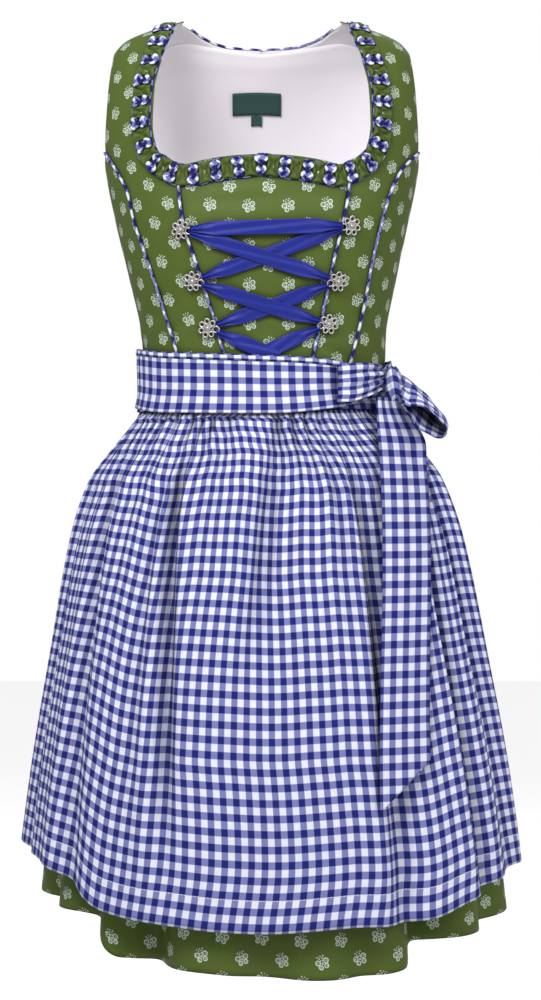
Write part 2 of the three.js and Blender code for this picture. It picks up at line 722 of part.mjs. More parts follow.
// A loop of tie: a closed path of [across, along] places, as wide as the tie, folded back on itself.
function bowLoop(path, placeAt, rows, steps) {
  const curve = new THREE.SplineCurve(path.map(([a, b]) => new THREE.Vector2(a, b)));
  const line = curve.getSpacedPoints(steps);
  return wall(rows.map((row) => line.map((p) => placeAt(p.x, p.y, row))), bowCloth);
}

// The inner loop lies over the tie's wrap, so its path is in across and lift from the body.
{
  const edges = { top: -383, bottom: -422 };
  const place = (across, lift, row) => {
    const height = THREE.MathUtils.lerp(edges.top, edges.bottom, row);
    return bodyPoint(angleAcross(across, height), height, lift);
  };
  const path = [
    [115, 17.5], [104, 21], [89, 21], [79, 17.5], [75, 13], [79, 9.8], [95, 9.4], [113, 9.8],
  ];
  add("bow_loop_inner", bowLoop(path, place, [0, 0.35, 0.7, 1], 12), gingham);
}

// The outer loop stands off to the side with its mouth to the front, so its path is in across and height.
// Its back edge lies higher than its mouth and a little further out.
{
  const ahead = { mouth: -98, back: -48 };
  const backEdge = { out: 6, up: 18 };
  const place = (across, height, row) =>
    new THREE.Vector3(
      across + backEdge.out * row,
      THREE.MathUtils.lerp(ahead.mouth, ahead.back, row),
      height + backEdge.up * row,
    );
  const path = [
    [152, -409], [160, -418], [168, -426], [178, -433], [188, -442], [194, -452], [192, -459], [184, -460],
    [174, -456], [166, -448], [159, -436], [152, -423],
  ];
  add("bow_loop_outer", bowLoop(path, place, [0, 0.5, 1], 16), gingham);
}

// The tail hangs from the knot, comes to lie on the apron and ends in a slanted cut.
{
  const top = -424;
  const width = 53;
  const left = 120;
  const ends = { left: -838, right: -789 };
  const clear = 8;
  const topWidth = 32; // where it is gathered into the knot
  const spreadOver = 46; // height over which it opens to its full width
  const freeDepth = 62; // how far ahead of the shoulder line its right edge leaves the knot
  const turnedAhead = 14; // how much further ahead its left edge is
  const sideAngle = 1.5; // radians from the front, past which the apron is no longer behind it
  const rows = 14;
  const columns = 4;
  const grid = Array.from({ length: rows + 1 }, (_, row) =>
    Array.from({ length: columns + 1 }, (_, column) => {
      const share = column / columns;
      const end = THREE.MathUtils.lerp(ends.left, ends.right, share);
      const height = THREE.MathUtils.lerp(top, end, row / rows);
      const opened = Math.min(1, (top - height) / spreadOver);
      const across = left + THREE.MathUtils.lerp(topWidth, width, opened) * share;
      const angle = angleAcross(across, height);
      const onApron = bodyPoint(angle, height, clear + apronCloth);
      const hanging = -freeDepth - turnedAhead * (1 - share);
      const ahead = Math.min(hanging, Math.abs(angle) > sideAngle ? hanging : onApron.y);
      return new THREE.Vector3(across, ahead, height);
    }),
  );
  add("bow_tail", wall(grid, bowCloth), gingham);
}

export default dress;
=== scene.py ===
"""The finish of a worn dirndl dress and its apron, built round the packed solids.

Sizes are in millimetres in the tables and in metres in the scene. +Z is up, the front faces -Y, and the
origin lies midway between the tops of the shoulders.
"""
import math

import bpy
import numpy as np
from mathutils import Matrix, Vector


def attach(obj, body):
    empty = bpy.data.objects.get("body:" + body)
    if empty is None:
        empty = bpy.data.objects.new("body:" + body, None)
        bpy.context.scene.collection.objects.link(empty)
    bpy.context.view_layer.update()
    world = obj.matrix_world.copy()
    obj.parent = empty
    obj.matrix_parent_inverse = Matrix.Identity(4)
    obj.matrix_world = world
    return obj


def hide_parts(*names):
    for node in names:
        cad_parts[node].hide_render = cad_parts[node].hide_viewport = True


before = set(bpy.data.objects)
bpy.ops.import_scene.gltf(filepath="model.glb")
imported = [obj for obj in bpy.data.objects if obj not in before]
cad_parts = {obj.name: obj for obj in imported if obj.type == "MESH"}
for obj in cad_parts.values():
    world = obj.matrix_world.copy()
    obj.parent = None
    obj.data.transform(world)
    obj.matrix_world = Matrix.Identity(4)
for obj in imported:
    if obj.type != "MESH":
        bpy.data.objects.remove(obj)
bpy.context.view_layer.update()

bl_info = {
    "name": "Dirndl dress",
    "version": (1, 0, 0),
    "blender": (4, 5, 0),
    "location": "View3D > Sidebar > Dirndl",
    "description": "Builds a worn dirndl dress with its check apron, piece by piece",
    "category": "Object",
}

MM = 0.001
SECTION_POWER = 2.3  # 2 is an ellipse, more is squarer
SHOULDER_ROUND = 2.2
ARMHOLE_FLOOR = -176
WAIST_SEAM = -402
SEAM_GAP = 0.3
EDGE_INSET = 0.8 * SEAM_GAP  # how far each panel's edge stands back from its seam
HEM_TURN = 32
# Thicknesses of the cloths.
BODICE_CLOTH = 1.2
LINING_CLOTH = 0.6
SKIRT_CLOTH = 0.7
APRON_CLOTH = 0.6
TIE_CLOTH = 1.0
EDGE_CLOTH = 0.4
BOW_CLOTH = 0.8
RIBBON_CLOTH = 0.35
RUCHE_CLOTH = 0.5

# ---- Tables, in millimetres and degrees ----
BODY_COLUMNS = ("height", "half_width", "front", "back", "lean")
BODY_SECTIONS = (
    (0, 85, 118, 106, 0),
    (-30, 155, 118, 106, 0),
    (-52, 168, 118, 106, 0),
    (-90, 174, 118, 106, 0),
    (-130, 176, 118, 106, 0),
    (-176, 170, 119, 105, 0),
    (-225, 160, 122, 103, 0),
    (-287, 146, 113, 98, 1),
    (-349, 134, 100, 92, 2),
    (-402, 132, 97, 90, 3),
    (-430, 138, 102, 94, 4),
    (-472, 164, 127, 116, 5),
    (-503, 186, 146, 132, 5),
    (-564, 209, 167, 152, 6),
    (-688, 235, 197, 183, 8),
    (-811, 258, 217, 204, 10),
    (-918, 273, 230, 219, 11),
    (-1015, 284, 240, 229, 12),
)
# Straps: neck edge and armhole edge from the shoulder seam down, as places across and heights.
STRAP_COLUMNS = ("neck_across", "neck_height", "arm_across", "arm_height")
FRONT_STRAP = (
    (85, -0.5, 155, -30),
    (95, -26, 162, -50),
    (106, -56, 165.5, -78),
    (113.5, -92, 167.5, -106),
    (115, -132, 169, -133),
    (107, -164, 169, -151),
)
BACK_STRAP = (
    (85, -0.5, 155, -30),
    (78, -6, 160, -48),
    (62, -13, 163, -72),
    (36, -19, 165, -104),
)
CENTRE_BACK_NECK = -21
# Below the straps the back runs from its centre line to the armhole and then the side seam.
BACK_ROWS = ((-21, -128), (-40, -148), (-70, -164), (-115, -176), (-180, -210), (-260, -272), (-330, -335),
             (-401.7, -401.7))
BACK_ARM_ACROSS = (166.5, 168.5, 170)
NECKLINE_CORNER = -177
NECKLINE_MIDDLE = -167
SEAM_COLUMNS = ("height", "inner_left", "inner_right", "outer_left", "outer_right")
FRONT_SEAMS = (
    (-151, 85, 88, 169, 169),
    (-177, 84, 86, 153, 147),
    (-200, 86, 91, 142, 136),
    (-230, 83, 86, 135, 127),
    (-277, 69, 75, 119, 116),
    (-326, 53, 65, 103, 107),
    (-375, 39, 54, 88, 95),
    (-402, 31, 48, 80, 88),
)
PANEL_HEIGHTS = (-177, -202, -230, -262, -294, -326, -364, -401.7)

HOOKS = {
    "left_1": (-83, -244),
    "left_2": (-71, -297),
    "left_3": (-55.5, -346),
    "right_1": (92.5, -239.5),
    "right_2": (79, -297),
    "right_3": (69.5, -341.5),
}
# Ribbon stretches: name, from, to (a hook, or a place across at the band), lift from the cloth.
LACES = (
    ("lace_under_1", "right_1", "left_2", 3.4),
    ("lace_under_2", "right_2", "left_3", 3.4),
    ("lace_end_right", "right_3", -10, 2.8),
    ("lace_over_1", "left_1", "right_2", 4.8),
    ("lace_over_2", "left_2", "right_3", 4.8),
    ("lace_end_left", "left_3", 18, 4.0),
    ("lace_top", "left_1", "right_1", 6.2),
)
BAND_CROSSING = -374

# The middle of the ruche from the shoulder to the front's middle: across, height.
RUCHE_PATH = (
    (103.5, -13),
    (108, -34),
    (118, -62),
    (125, -90),
    (127, -128),
    (120, -160),
    (103, -178),
    (78, -188),
    (40, -183),
    (0, -178),
)
RUCHE_HALF_WIDTH = 11.0

# Folds of the skirt at its hem: angle, spread, depth.
SKIRT_FOLDS = (
    (-72, 8, 30),
    (-47, 5, 26),
    (-28, 6.5, 40),
    (-1, 4.5, 14),
    (17, 4, 10),
    (37, 6.5, 46),
    (66, 8, 28),
    (98, 7, 24),
    (120, 6, 36),
    (143, 7, 28),
    (164, 6, 38),
    (186, 7, 30),
    (208, 6, 40),
    (231, 7, 28),
    (255, 6.5, 34),
)
# How far each hem is drawn up from its level, by angle.
SKIRT_HEM = (
    (-90, 45),
    (-60, 45),
    (-50, 38),
    (-40, 6),
    (-20, 0),
    (15, -9),
    (31, -4),
    (42, 16),
    (70, 22),
    (90, 26),
    (150, 12),
    (190, 8),
    (230, 24),
    (270, 45),
)
APRON_HEM = (
    (-101, 56),
    (-67, 50),
    (-52, 36),
    (-40, 10),
    (-26, 0),
    (-12, -8),
    (10, -4),
    (35, 0),
    (47, 14),
    (58, 26),
    (70, 36),
    (92, 40),
)
# Long folds of the apron: angle at the band, angle at the hem, spread, depth, where each fades out.
APRON_FOLDS = (
    (-27, -20, 2.6, 15, 0.95),
    (3, -8, 2.5, 13, 0.6),
    (26, 27, 3.2, 13.5, 1.2),
    (-58, -48, 4.0, 10, 1.3),
    (47, 52, 3.0, 12, 1.2),
    (66, 66, 4.0, 8, 1.2),
    (82, 80, 4.0, 7, 1.2),
    (-80, -76, 5.0, 8, 1.3),
)
APRON_LEFT = -101
APRON_RIGHT = 92
APRON_TOP = -430.5
TIE_COLUMNS = ("angle", "top", "bottom")
TIE_WRAP = (
    (-180, -371, -428),
    (-90, -362, -426),
    (-45, -370, -434),
    (0, -375, -436),
    (30, -379, -429),
    (52, -388, -420),
    (90, -374, -426),
    (180, -371, -428),
)


# The bow's inner loop from the knot and back to it: across, lift from the body.
INNER_LOOP = ((115, 17.5), (104, 21), (89, 21), (79, 17.5), (75, 13), (79, 9.8), (95, 9.4), (113, 9.8))
# Outlines of the outer loop's front and back edges, over the top and back underneath: across, height.
OUTER_LOOP_MOUTH = (
    (148, -424), (154, -429), (161, -428), (169, -429), (178, -435), (188, -443.5), (194, -453),
    (192, -460), (184, -461), (174, -457), (165, -451), (158, -442), (153, -434), (149, -428),
)
OUTER_LOOP_BACK = (
    (149, -392), (156, -396), (163, -401), (170, -408), (180, -418), (190, -430), (199, -443),
    (199, -448), (190, -438), (180, -427), (170, -417), (161, -409), (155, -404), (150, -400),
)
TAIL_TOP = -418
TAIL_END = -838  # of its long edge; the other edge ends higher by the slant
TAIL_SLANT = 49


# ---- The body's surface ----
def column(rows, names, name):
    return np.array([row[names.index(name)] for row in rows], float)


def read_off(rows, names, name, at):
    """A column of a table, read off smoothly against its first column."""
    return smooth(column(rows, names, names[0]), column(rows, names, name), at)


def smooth(xs, ys, at):
    """A smooth value through points that never swings past them."""
    order = np.argsort(xs)
    xs, ys = np.asarray(xs, float)[order], np.asarray(ys, float)[order]
    slopes = np.diff(ys) / np.diff(xs)
    tangents = np.empty(len(xs))
    tangents[0], tangents[-1] = slopes[0], slopes[-1]
    product = slopes[:-1] * slopes[1:]
    total = np.where(np.abs(slopes[:-1] + slopes[1:]) < 1e-12, 1, slopes[:-1] + slopes[1:])
    tangents[1:-1] = np.where(product > 0, 2 * product / total, 0)
    at = np.clip(np.asarray(at, float), xs[0], xs[-1])
    i = np.clip(np.searchsorted(xs, at, side="right") - 1, 0, len(xs) - 2)
    span = xs[i + 1] - xs[i]
    t = (at - xs[i]) / span
    return (
        (2 * t**3 - 3 * t**2 + 1) * ys[i]
        + (t**3 - 2 * t**2 + t) * span * tangents[i]
        + (3 * t**2 - 2 * t**3) * ys[i + 1]
        + (t**3 - t**2) * span * tangents[i + 1]
    )


HEIGHTS = np.arange(-1040, 0.5, 1.0)
BODY = {name: read_off(BODY_SECTIONS, BODY_COLUMNS, name, HEIGHTS) for name in BODY_COLUMNS[1:]}


def section(height):
    """Half width, front depth, back depth and lean of the section at a height."""
    height = np.asarray(height, float)
    value = {name: np.interp(height, HEIGHTS, BODY[name]) for name in BODY}
    rise = np.clip(1 - height / ARMHOLE_FLOOR, 0, 1)
    over = np.where(height > ARMHOLE_FLOOR, (1 - rise**SHOULDER_ROUND) ** (1 / SHOULDER_ROUND), 1.0)
    return value["half_width"], value["front"] * over, value["back"] * over, value["lean"]


def turned(value):
    return np.sign(value) * np.abs(value) ** (2 / SECTION_POWER)


def body_point(angle, height, lift=0.0):
    """Points of the body's surface at angles from the front's middle, lifted level outwards."""
    angle, height, lift = np.broadcast_arrays(*(np.asarray(a, float) for a in (angle, height, lift)))
    half_width, front, back, lean = section(height)
    across = turned(np.sin(angle))
    ahead = turned(np.cos(angle))
    depth = np.where(ahead >= 0, front, back)
    out_x, out_y = across / half_width, -ahead / np.maximum(depth, 1)
    size = np.maximum(np.hypot(out_x, out_y), 1e-9)
    return np.stack(
        [
            lean + half_width * across + out_x / size * lift,
            -depth * ahead + out_y / size * lift,
            height,
        ],
        axis=-1,
    )


def together(*parts):
    """Arrays of any shapes joined as the coordinates of one array of places."""
    return np.stack(np.broadcast_arrays(*parts), axis=-1)


def run_along(line):
    """Distances along a line of points, from 0 at its first."""
    steps = np.linalg.norm(np.diff(line, axis=0), axis=1)
    return np.concatenate([[0], np.cumsum(steps)])


def eased(share):
    """A share from 0 to 1 that starts and stops gently."""
    return share * share * (3 - 2 * share)


def unit(vectors):
    return vectors / np.maximum(np.linalg.norm(vectors, axis=-1, keepdims=True), 1e-12)


def body_normal(angle, height):
    small = 0.02
    turn = body_point(angle + small, height) - body_point(angle - small, height)
    drop = body_point(angle, height - 1.0) - body_point(angle, np.minimum(-0.5, height + 1.0))
    return unit(np.cross(drop, turn))


def angle_across(across, height):
    half_width, _, _, lean = section(height)
    share = np.clip((np.asarray(across, float) - lean) / half_width, -1, 1)
    return np.sign(share) * np.arcsin(np.abs(share) ** (SECTION_POWER / 2))


# Cloth distances on the body: round each section from the front's middle, and down from the shoulder.
RULER_ANGLES = np.radians(np.arange(-200, 271, 2.0))
RULER_HEIGHTS = -np.arange(1, 421, 6.0)
RULER_POINTS = body_point(RULER_ANGLES[None, :], RULER_HEIGHTS[:, None])
ROUND, DOWN = (
    np.insert(np.linalg.norm(np.diff(RULER_POINTS, axis=axis), axis=-1), 0, 0, axis=axis).cumsum(axis=axis)
    for axis in (1, 0)
)


def ruler_value(table, angle, height):
    i = np.clip((-1 - height) / 6.0, 0, len(RULER_HEIGHTS) - 1.001)
    j = np.clip((np.degrees(angle) + 200) / 2.0, 0, len(RULER_ANGLES) - 1.001)
    i0, j0 = i.astype(int), j.astype(int)
    fi, fj = i - i0, j - j0
    return (
        table[i0, j0] * (1 - fi) * (1 - fj)
        + table[i0 + 1, j0] * fi * (1 - fj)
        + table[i0, j0 + 1] * (1 - fi) * fj
        + table[i0 + 1, j0 + 1] * fi * fj
    )


def cloth_place(angle, height, grain):
    """Cloth coordinates, in metres, of places on the body, across from a straight-grain angle and down."""
    angle, height = np.broadcast_arrays(angle, height)
    across = ruler_value(ROUND, angle, height) - ruler_value(ROUND, np.full_like(angle, grain), height)
    return np.stack([across, -ruler_value(DOWN, angle, height)], axis=-1) * MM


# ---- Meshes ----
def only(obj):
    bpy.ops.object.select_all(action="DESELECT")
    obj.select_set(True)
    bpy.context.view_layer.objects.active = obj


def set_places(mesh, places):
    """Gives every corner of every face the cloth place of its point."""
    corners = np.empty(len(mesh.loops), int)
    mesh.loops.foreach_get("vertex_index", corners)
    mesh.uv_layers["Cloth"].data.foreach_set("uv", np.asarray(places)[corners].astype(np.float32).ravel())


def thicken(obj, thickness, inside_slot=0):
    """Gives a sheet its thickness, inwards."""
    solid = obj.modifiers.new("Thickness", "SOLIDIFY")
    solid.thickness = thickness * MM
    solid.offset = -1
    solid.material_offset = inside_slot
    only(obj)
    bpy.ops.object.modifier_apply(modifier=solid.name)


def new_mesh(name, points, faces, uvs, materials):
    """A mesh object from points in millimetres, faces of four corners, and a cloth place for each point."""
    mesh = bpy.data.meshes.new(name)
    mesh.from_pydata((np.asarray(points) * MM).tolist(), [], [list(f) for f in faces])
    mesh.uv_layers.new(name="Cloth")
    set_places(mesh, uvs)
    for material in materials:
        mesh.materials.append(material)
    mesh.polygons.foreach_set("use_smooth", np.ones(len(mesh.polygons), bool))
    obj = bpy.data.objects.new(name, mesh)
    bpy.context.scene.collection.objects.link(obj)
    return obj


def grid_faces(rows, columns, ring=False):
    row, col = np.meshgrid(np.arange(rows - 1), np.arange(columns if ring else columns - 1), indexing="ij")
    row, col = row.ravel(), col.ravel()
    nxt = (col + 1) % columns
    above, below = row * columns, (row + 1) * columns
    return together(above + col, below + col, below + nxt, above + nxt)


def cloth(name, grid, uv, thickness, material, inside=None, ring=False):
    """A sheet of cloth from a grid of points, rows down and columns to the right as seen from outside."""
    rows, columns = grid.shape[:2]
    materials = [material, inside or material]
    obj = new_mesh(name, grid.reshape(-1, 3), grid_faces(rows, columns, ring), uv.reshape(-1, 2), materials)
    thicken(obj, thickness, inside_slot=1)
    return obj


def finish_piece(obj, slot, *nodes):
    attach(obj, "root")
    if nodes:
        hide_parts(*nodes)
    return obj


def refine(values, per):
    """Values between stations, evenly, through a smooth curve that keeps them."""
    values = np.asarray(values, float)
    at = np.linspace(0, len(values) - 1, (len(values) - 1) * per + 1)
    return smooth(np.arange(len(values)), values, at)


def wave(u, seed, count, roughness=0.35):
    """An uneven wave from -1 to 1 with about count crests in each unit of u."""
    rng = np.random.default_rng(seed)
    total = np.zeros_like(u)
    for share in (0.0, 0.27, 0.61):
        pace = count * (1 + roughness * (rng.random() - 0.5 + share))
        total = total + (1 - share) * np.sin(2 * np.pi * (pace * u + rng.random()))
    return total / 2.1


# ---- Materials ----
def shader(name, color, roughness, **sockets):
    material = bpy.data.materials.new(name)
    material.use_nodes = True
    nodes = material.node_tree.nodes
    bsdf = nodes["Principled BSDF"]
    bsdf.inputs["Base Color"].default_value = (*color, 1)
    bsdf.inputs["Roughness"].default_value = roughness
    for socket, value in sockets.items():
        bsdf.inputs[socket.replace("_", " ")].default_value = value
    return material, nodes, material.node_tree.links, bsdf


class Graph:
    """Short calls for building a node tree."""

    def __init__(self, nodes, links):
        self.nodes = nodes
        self.links = links

    def put(self, socket, value):
        if isinstance(value, bpy.types.NodeSocket):
            self.links.new(value, socket)
        else:
            socket.default_value = value

    def math(self, operation, *values, clamp=False):
        node = self.nodes.new("ShaderNodeMath")
        node.operation = operation
        node.use_clamp = clamp
        for socket, value in zip(node.inputs, values):
            self.put(socket, value)
        return node.outputs[0]

    def vector(self, operation, *values):
        node = self.nodes.new("ShaderNodeVectorMath")
        node.operation = operation
        for socket, value in zip(node.inputs, values):
            self.put(socket, value)
        return node.outputs["Value" if operation in ("DISTANCE", "LENGTH") else "Vector"]

    def uv(self):
        node = self.nodes.new("ShaderNodeUVMap")
        node.uv_map = "Cloth"
        return node.outputs[0]

    def split(self, vector):
        node = self.nodes.new("ShaderNodeSeparateXYZ")
        self.put(node.inputs[0], vector)
        return node.outputs[0], node.outputs[1]

    def join(self, x, y):
        node = self.nodes.new("ShaderNodeCombineXYZ")
        self.put(node.inputs[0], x)
        self.put(node.inputs[1], y)
        return node.outputs[0]

    def mix(self, factor, first, second):
        node = self.nodes.new("ShaderNodeMix")
        node.data_type = "RGBA"
        self.put(node.inputs["Factor"], factor)
        self.put(node.inputs[6], first)
        self.put(node.inputs[7], second)
        return node.outputs[2]

    def shade(self, color, value):
        """A colour made darker or paler by a value round 1."""
        node = self.nodes.new("ShaderNodeHueSaturation")
        self.put(node.inputs["Value"], value)
        self.put(node.inputs["Color"], color)
        return node.outputs[0]

    def noise(self, vector, scale, detail=3.0):
        node = self.nodes.new("ShaderNodeTexNoise")
        self.put(node.inputs["Vector"], vector)
        node.inputs["Scale"].default_value = scale
        node.inputs["Detail"].default_value = detail
        return node.outputs["Fac"]

    def bump(self, height, strength, distance):
        node = self.nodes.new("ShaderNodeBump")
        node.inputs["Strength"].default_value = strength
        node.inputs["Distance"].default_value = distance
        self.put(node.inputs["Height"], height)
        return node.outputs[0]

    def hollow(self, distance, least):
        """1 in the open, falling towards the least value deep in a fold."""
        node = self.nodes.new("ShaderNodeAmbientOcclusion")
        node.samples = 4
        node.inputs["Distance"].default_value = distance
        openness = self.math("POWER", node.outputs["AO"], 1.9)
        return self.math("MULTIPLY_ADD", openness, 1 - least, least, clamp=True)

    def step(self, value, edge, soft):
        """0 below the edge and 1 above it, over a soft band."""
        node = self.nodes.new("ShaderNodeMapRange")
        node.interpolation_type = "SMOOTHSTEP"
        self.put(node.inputs["Value"], value)
        node.inputs["From Min"].default_value = edge - soft
        node.inputs["From Max"].default_value = edge + soft
        return node.outputs[0]


def weave_height(g, x, y, thread):
    """Threads over and under each other, as a height from 0 to 1."""
    warp = g.math("SINE", g.math("MULTIPLY", x, 2 * math.pi / thread))
    weft = g.math("SINE", g.math("MULTIPLY", y, 2 * math.pi / thread))
    return g.math("ADD", g.math("MULTIPLY", g.math("MULTIPLY", warp, weft), 0.5), 0.5)


def check_material(name, finish, stitched=None):
    """Woven check: white, one blue stripe, and dark where two stripes cross."""
    material, nodes, links, bsdf = shader(name, finish.check_blue, 0.85, Specular_IOR_Level=0.2)
    g = Graph(nodes, links)
    x, y = g.split(g.uv())
    stripes = []
    for value, repeat in ((x, finish.check_across), (y, finish.check_down)):
        phase = g.math("FRACT", g.math("DIVIDE", value, repeat))
        away = g.math("ABSOLUTE", g.math("SUBTRACT", phase, 0.5))
        stripes.append(g.step(away, 0.25, 0.035))
    both = g.math("MULTIPLY", *stripes)
    some = g.math("MAXIMUM", *stripes)
    thread = finish.thread_width
    lines = g.math("SINE", g.math("MULTIPLY", g.math("ADD", x, y), 2 * math.pi / (2.2 * thread)))
    blend = g.math("MULTIPLY_ADD", lines, 0.12, 0.5, clamp=True)
    blue = g.mix(blend, (*finish.check_blue, 1), (*finish.check_pale, 1))
    color = g.mix(some, (*finish.check_white, 1), blue)
    color = g.mix(both, color, (*finish.check_dark, 1))
    tone = g.math("MULTIPLY_ADD", g.noise(g.uv(), 90.0), 0.16, 0.98)
    # Painted shade: besides its random tone, the check is darkened in folds and gathers by ambient occlusion.
    color = g.shade(color, g.math("MULTIPLY", tone, g.hollow(0.022, 0.3)))
    height = weave_height(g, x, y, thread)
    if stitched is not None:
        line = g.math("ABSOLUTE", g.math("ADD", y, stitched * MM))
        dash = g.step(g.math("FRACT", g.math("DIVIDE", x, 0.0032)), 0.25, 0.1)
        on_line = g.math("MULTIPLY", g.math("SUBTRACT", 1.0, g.step(line, 0.00045, 0.0002)), dash)
        color = g.mix(g.math("MULTIPLY", on_line, 0.75), color, (0.8, 0.8, 0.9, 1))
        groove = g.math("SUBTRACT", 1.0, g.step(line, 0.0012, 0.0012))
        height = g.math("SUBTRACT", height, g.math("MULTIPLY", groove, 1.6))
    links.new(color, bsdf.inputs["Base Color"])
    links.new(g.bump(height, 0.35, 0.00025), bsdf.inputs["Normal"])
    return material


# The printed flower, half of it, in millimetres. Petals are rings with an eye: middle across, middle up,
# radius, line width. Its dots are a heart and a fan above: middle across, middle up, radius.
PETALS = ((4.2, 1.0, 2.2, 0.58), (2.9, -3.9, 1.9, 0.58))
PETAL_EYE = 0.55
FLOWER_DOTS = ((0.0, -0.8, 1.1), (1.5, 4.6, 0.7), (0.0, 6.6, 0.65), (3.0, 6.3, 0.7), (1.0, 2.2, 0.75))


def print_material(name, finish):
    """Green cotton satin with a small pale flower on a staggered lattice."""
    material, nodes, links, bsdf = shader(name, finish.green, 0.5, Specular_IOR_Level=0.2)
    g = Graph(nodes, links)
    uv = g.uv()
    x, y = g.split(uv)
    wobble = g.noise(uv, 160.0, 2.0)
    masks = []
    for shift, lean in ((0.0, 0.35), (0.5, -0.3)):
        local = []
        for value in (x, y):
            phase = g.math("FRACT", g.math("ADD", g.math("DIVIDE", value, finish.flower_repeat), shift))
            local.append(g.math("MULTIPLY", g.math("SUBTRACT", phase, 0.5), finish.flower_repeat / MM))
        cos, sin = math.cos(lean), math.sin(lean)
        lx = g.math("ADD", g.math("MULTIPLY", local[0], cos), g.math("MULTIPLY", local[1], sin))
        ly = g.math("SUBTRACT", g.math("MULTIPLY", local[1], cos), g.math("MULTIPLY", local[0], sin))
        place = g.join(g.math("ABSOLUTE", lx), ly)
        shapes = []
        for across, up, radius, line in PETALS:
            away = g.vector("DISTANCE", place, (across, up, 0))
            shapes.append(g.math("SUBTRACT", g.math("ABSOLUTE", g.math("SUBTRACT", away, radius)), line))
            shapes.append(g.math("SUBTRACT", g.vector("DISTANCE", place, (across + 0.3, up, 0)), PETAL_EYE))
        for across, up, radius in FLOWER_DOTS:
            shapes.append(g.math("SUBTRACT", g.vector("DISTANCE", place, (across, up, 0)), radius))
        nearest = shapes[0]
        for shape in shapes[1:]:
            nearest = g.math("MINIMUM", nearest, shape)
        nearest = g.math("ADD", nearest, g.math("MULTIPLY_ADD", wobble, 0.6, -0.3))
        masks.append(g.math("SUBTRACT", 1.0, g.step(nearest, 0.0, 0.22)))
    flower = g.math("MAXIMUM", *masks)
    mottle = g.noise(uv, 35.0)
    deep = tuple(0.86 * c for c in finish.green)
    ground = g.mix(mottle, (*deep, 1), (*finish.green, 1))
    printed = g.mix(g.math("MULTIPLY", flower, 0.85), ground, (*finish.flower, 1))
    # Painted shade: the print is darkened in creases and next to the ruche by ambient occlusion.
    links.new(g.shade(printed, g.hollow(0.009, 0.25)), bsdf.inputs["Base Color"])
    height = g.math("ADD", weave_height(g, x, y, finish.thread_width * 0.8), g.math("MULTIPLY", flower, 0.6))
    links.new(g.bump(height, 0.22, 0.0002), bsdf.inputs["Normal"])
    return material


def plain_material(name, color, roughness, bumpiness, thread, **sockets):
    """Plain woven cloth."""
    material, nodes, links, bsdf = shader(name, color, roughness, **sockets)
    g = Graph(nodes, links)
    x, y = g.split(g.uv())
    tone = g.math("MULTIPLY_ADD", g.noise(g.uv(), 60.0), 0.14, 0.93)
    links.new(g.shade((*color, 1), tone), bsdf.inputs["Base Color"])
    links.new(g.bump(weave_height(g, x, y, thread), bumpiness, 0.0002), bsdf.inputs["Normal"])
    return material


def silver_material(name, finish):
    """Cast silver, bright on the high places and dark in the hollows."""
    material, nodes, links, bsdf = shader(name, finish.silver, 0.3, Metallic=1.0)
    g = Graph(nodes, links)
    coord = nodes.new("ShaderNodeTexCoord").outputs["Object"]
    ambient = nodes.new("ShaderNodeAmbientOcclusion")
    ambient.inputs["Distance"].default_value = 0.0025
    hollow = g.step(ambient.outputs["AO"], 0.55, 0.3)
    stain = g.noise(coord, 900.0)
    dark = tuple(0.12 * c for c in finish.silver)
    bright = g.math("MULTIPLY", hollow, g.math("MULTIPLY_ADD", stain, 0.4, 0.75, clamp=True))
    color = g.mix(bright, (*dark, 1), (*finish.silver, 1))
    links.new(color, bsdf.inputs["Base Color"])
    links.new(g.math("MULTIPLY_ADD", stain, 0.25, 0.2), bsdf.inputs["Roughness"])
    links.new(g.bump(stain, 0.15, 0.0002), bsdf.inputs["Normal"])
    return material


def materials():
    """The finishes, made once from the colours in the panel."""
    finish = bpy.context.scene.dirndl_finish
    made = {m.name: m for m in bpy.data.materials}
    if "printed_green" in made:
        return made
    print_material("printed_green", finish)
    check_material("woven_check", finish)
    check_material("apron_check", finish, stitched=finish.apron_length / MM - HEM_TURN)
    # The lining glows faintly in its own colour: painted light that keeps it bright inside the bodice.
    plain_material("white_lining", finish.lining, 0.8, 0.2, 0.0006, Emission_Color=(*finish.lining, 1),
                   Emission_Strength=0.32)
    plain_material("royal_satin", finish.ribbon, 0.42, 0.25, 0.0007, Specular_IOR_Level=0.35, Anisotropic=0.4)
    plain_material("label_cloth", finish.label, 0.6, 0.5, 0.0006)
    silver_material("antique_silver", finish)
    shader("tarnished_silver", tuple(0.04 * c for c in finish.silver), 0.6, Metallic=0.5)
    return {m.name: m for m in bpy.data.materials}


# ---- Sizes and colours ----
def size_of(name, description, default):
    return bpy.props.FloatProperty(name=name, description=description, default=default, unit="LENGTH")


def colour_of(name, description, default):
    return bpy.props.FloatVectorProperty(name=name, description=description, default=default, size=3,
                                         subtype="COLOR")


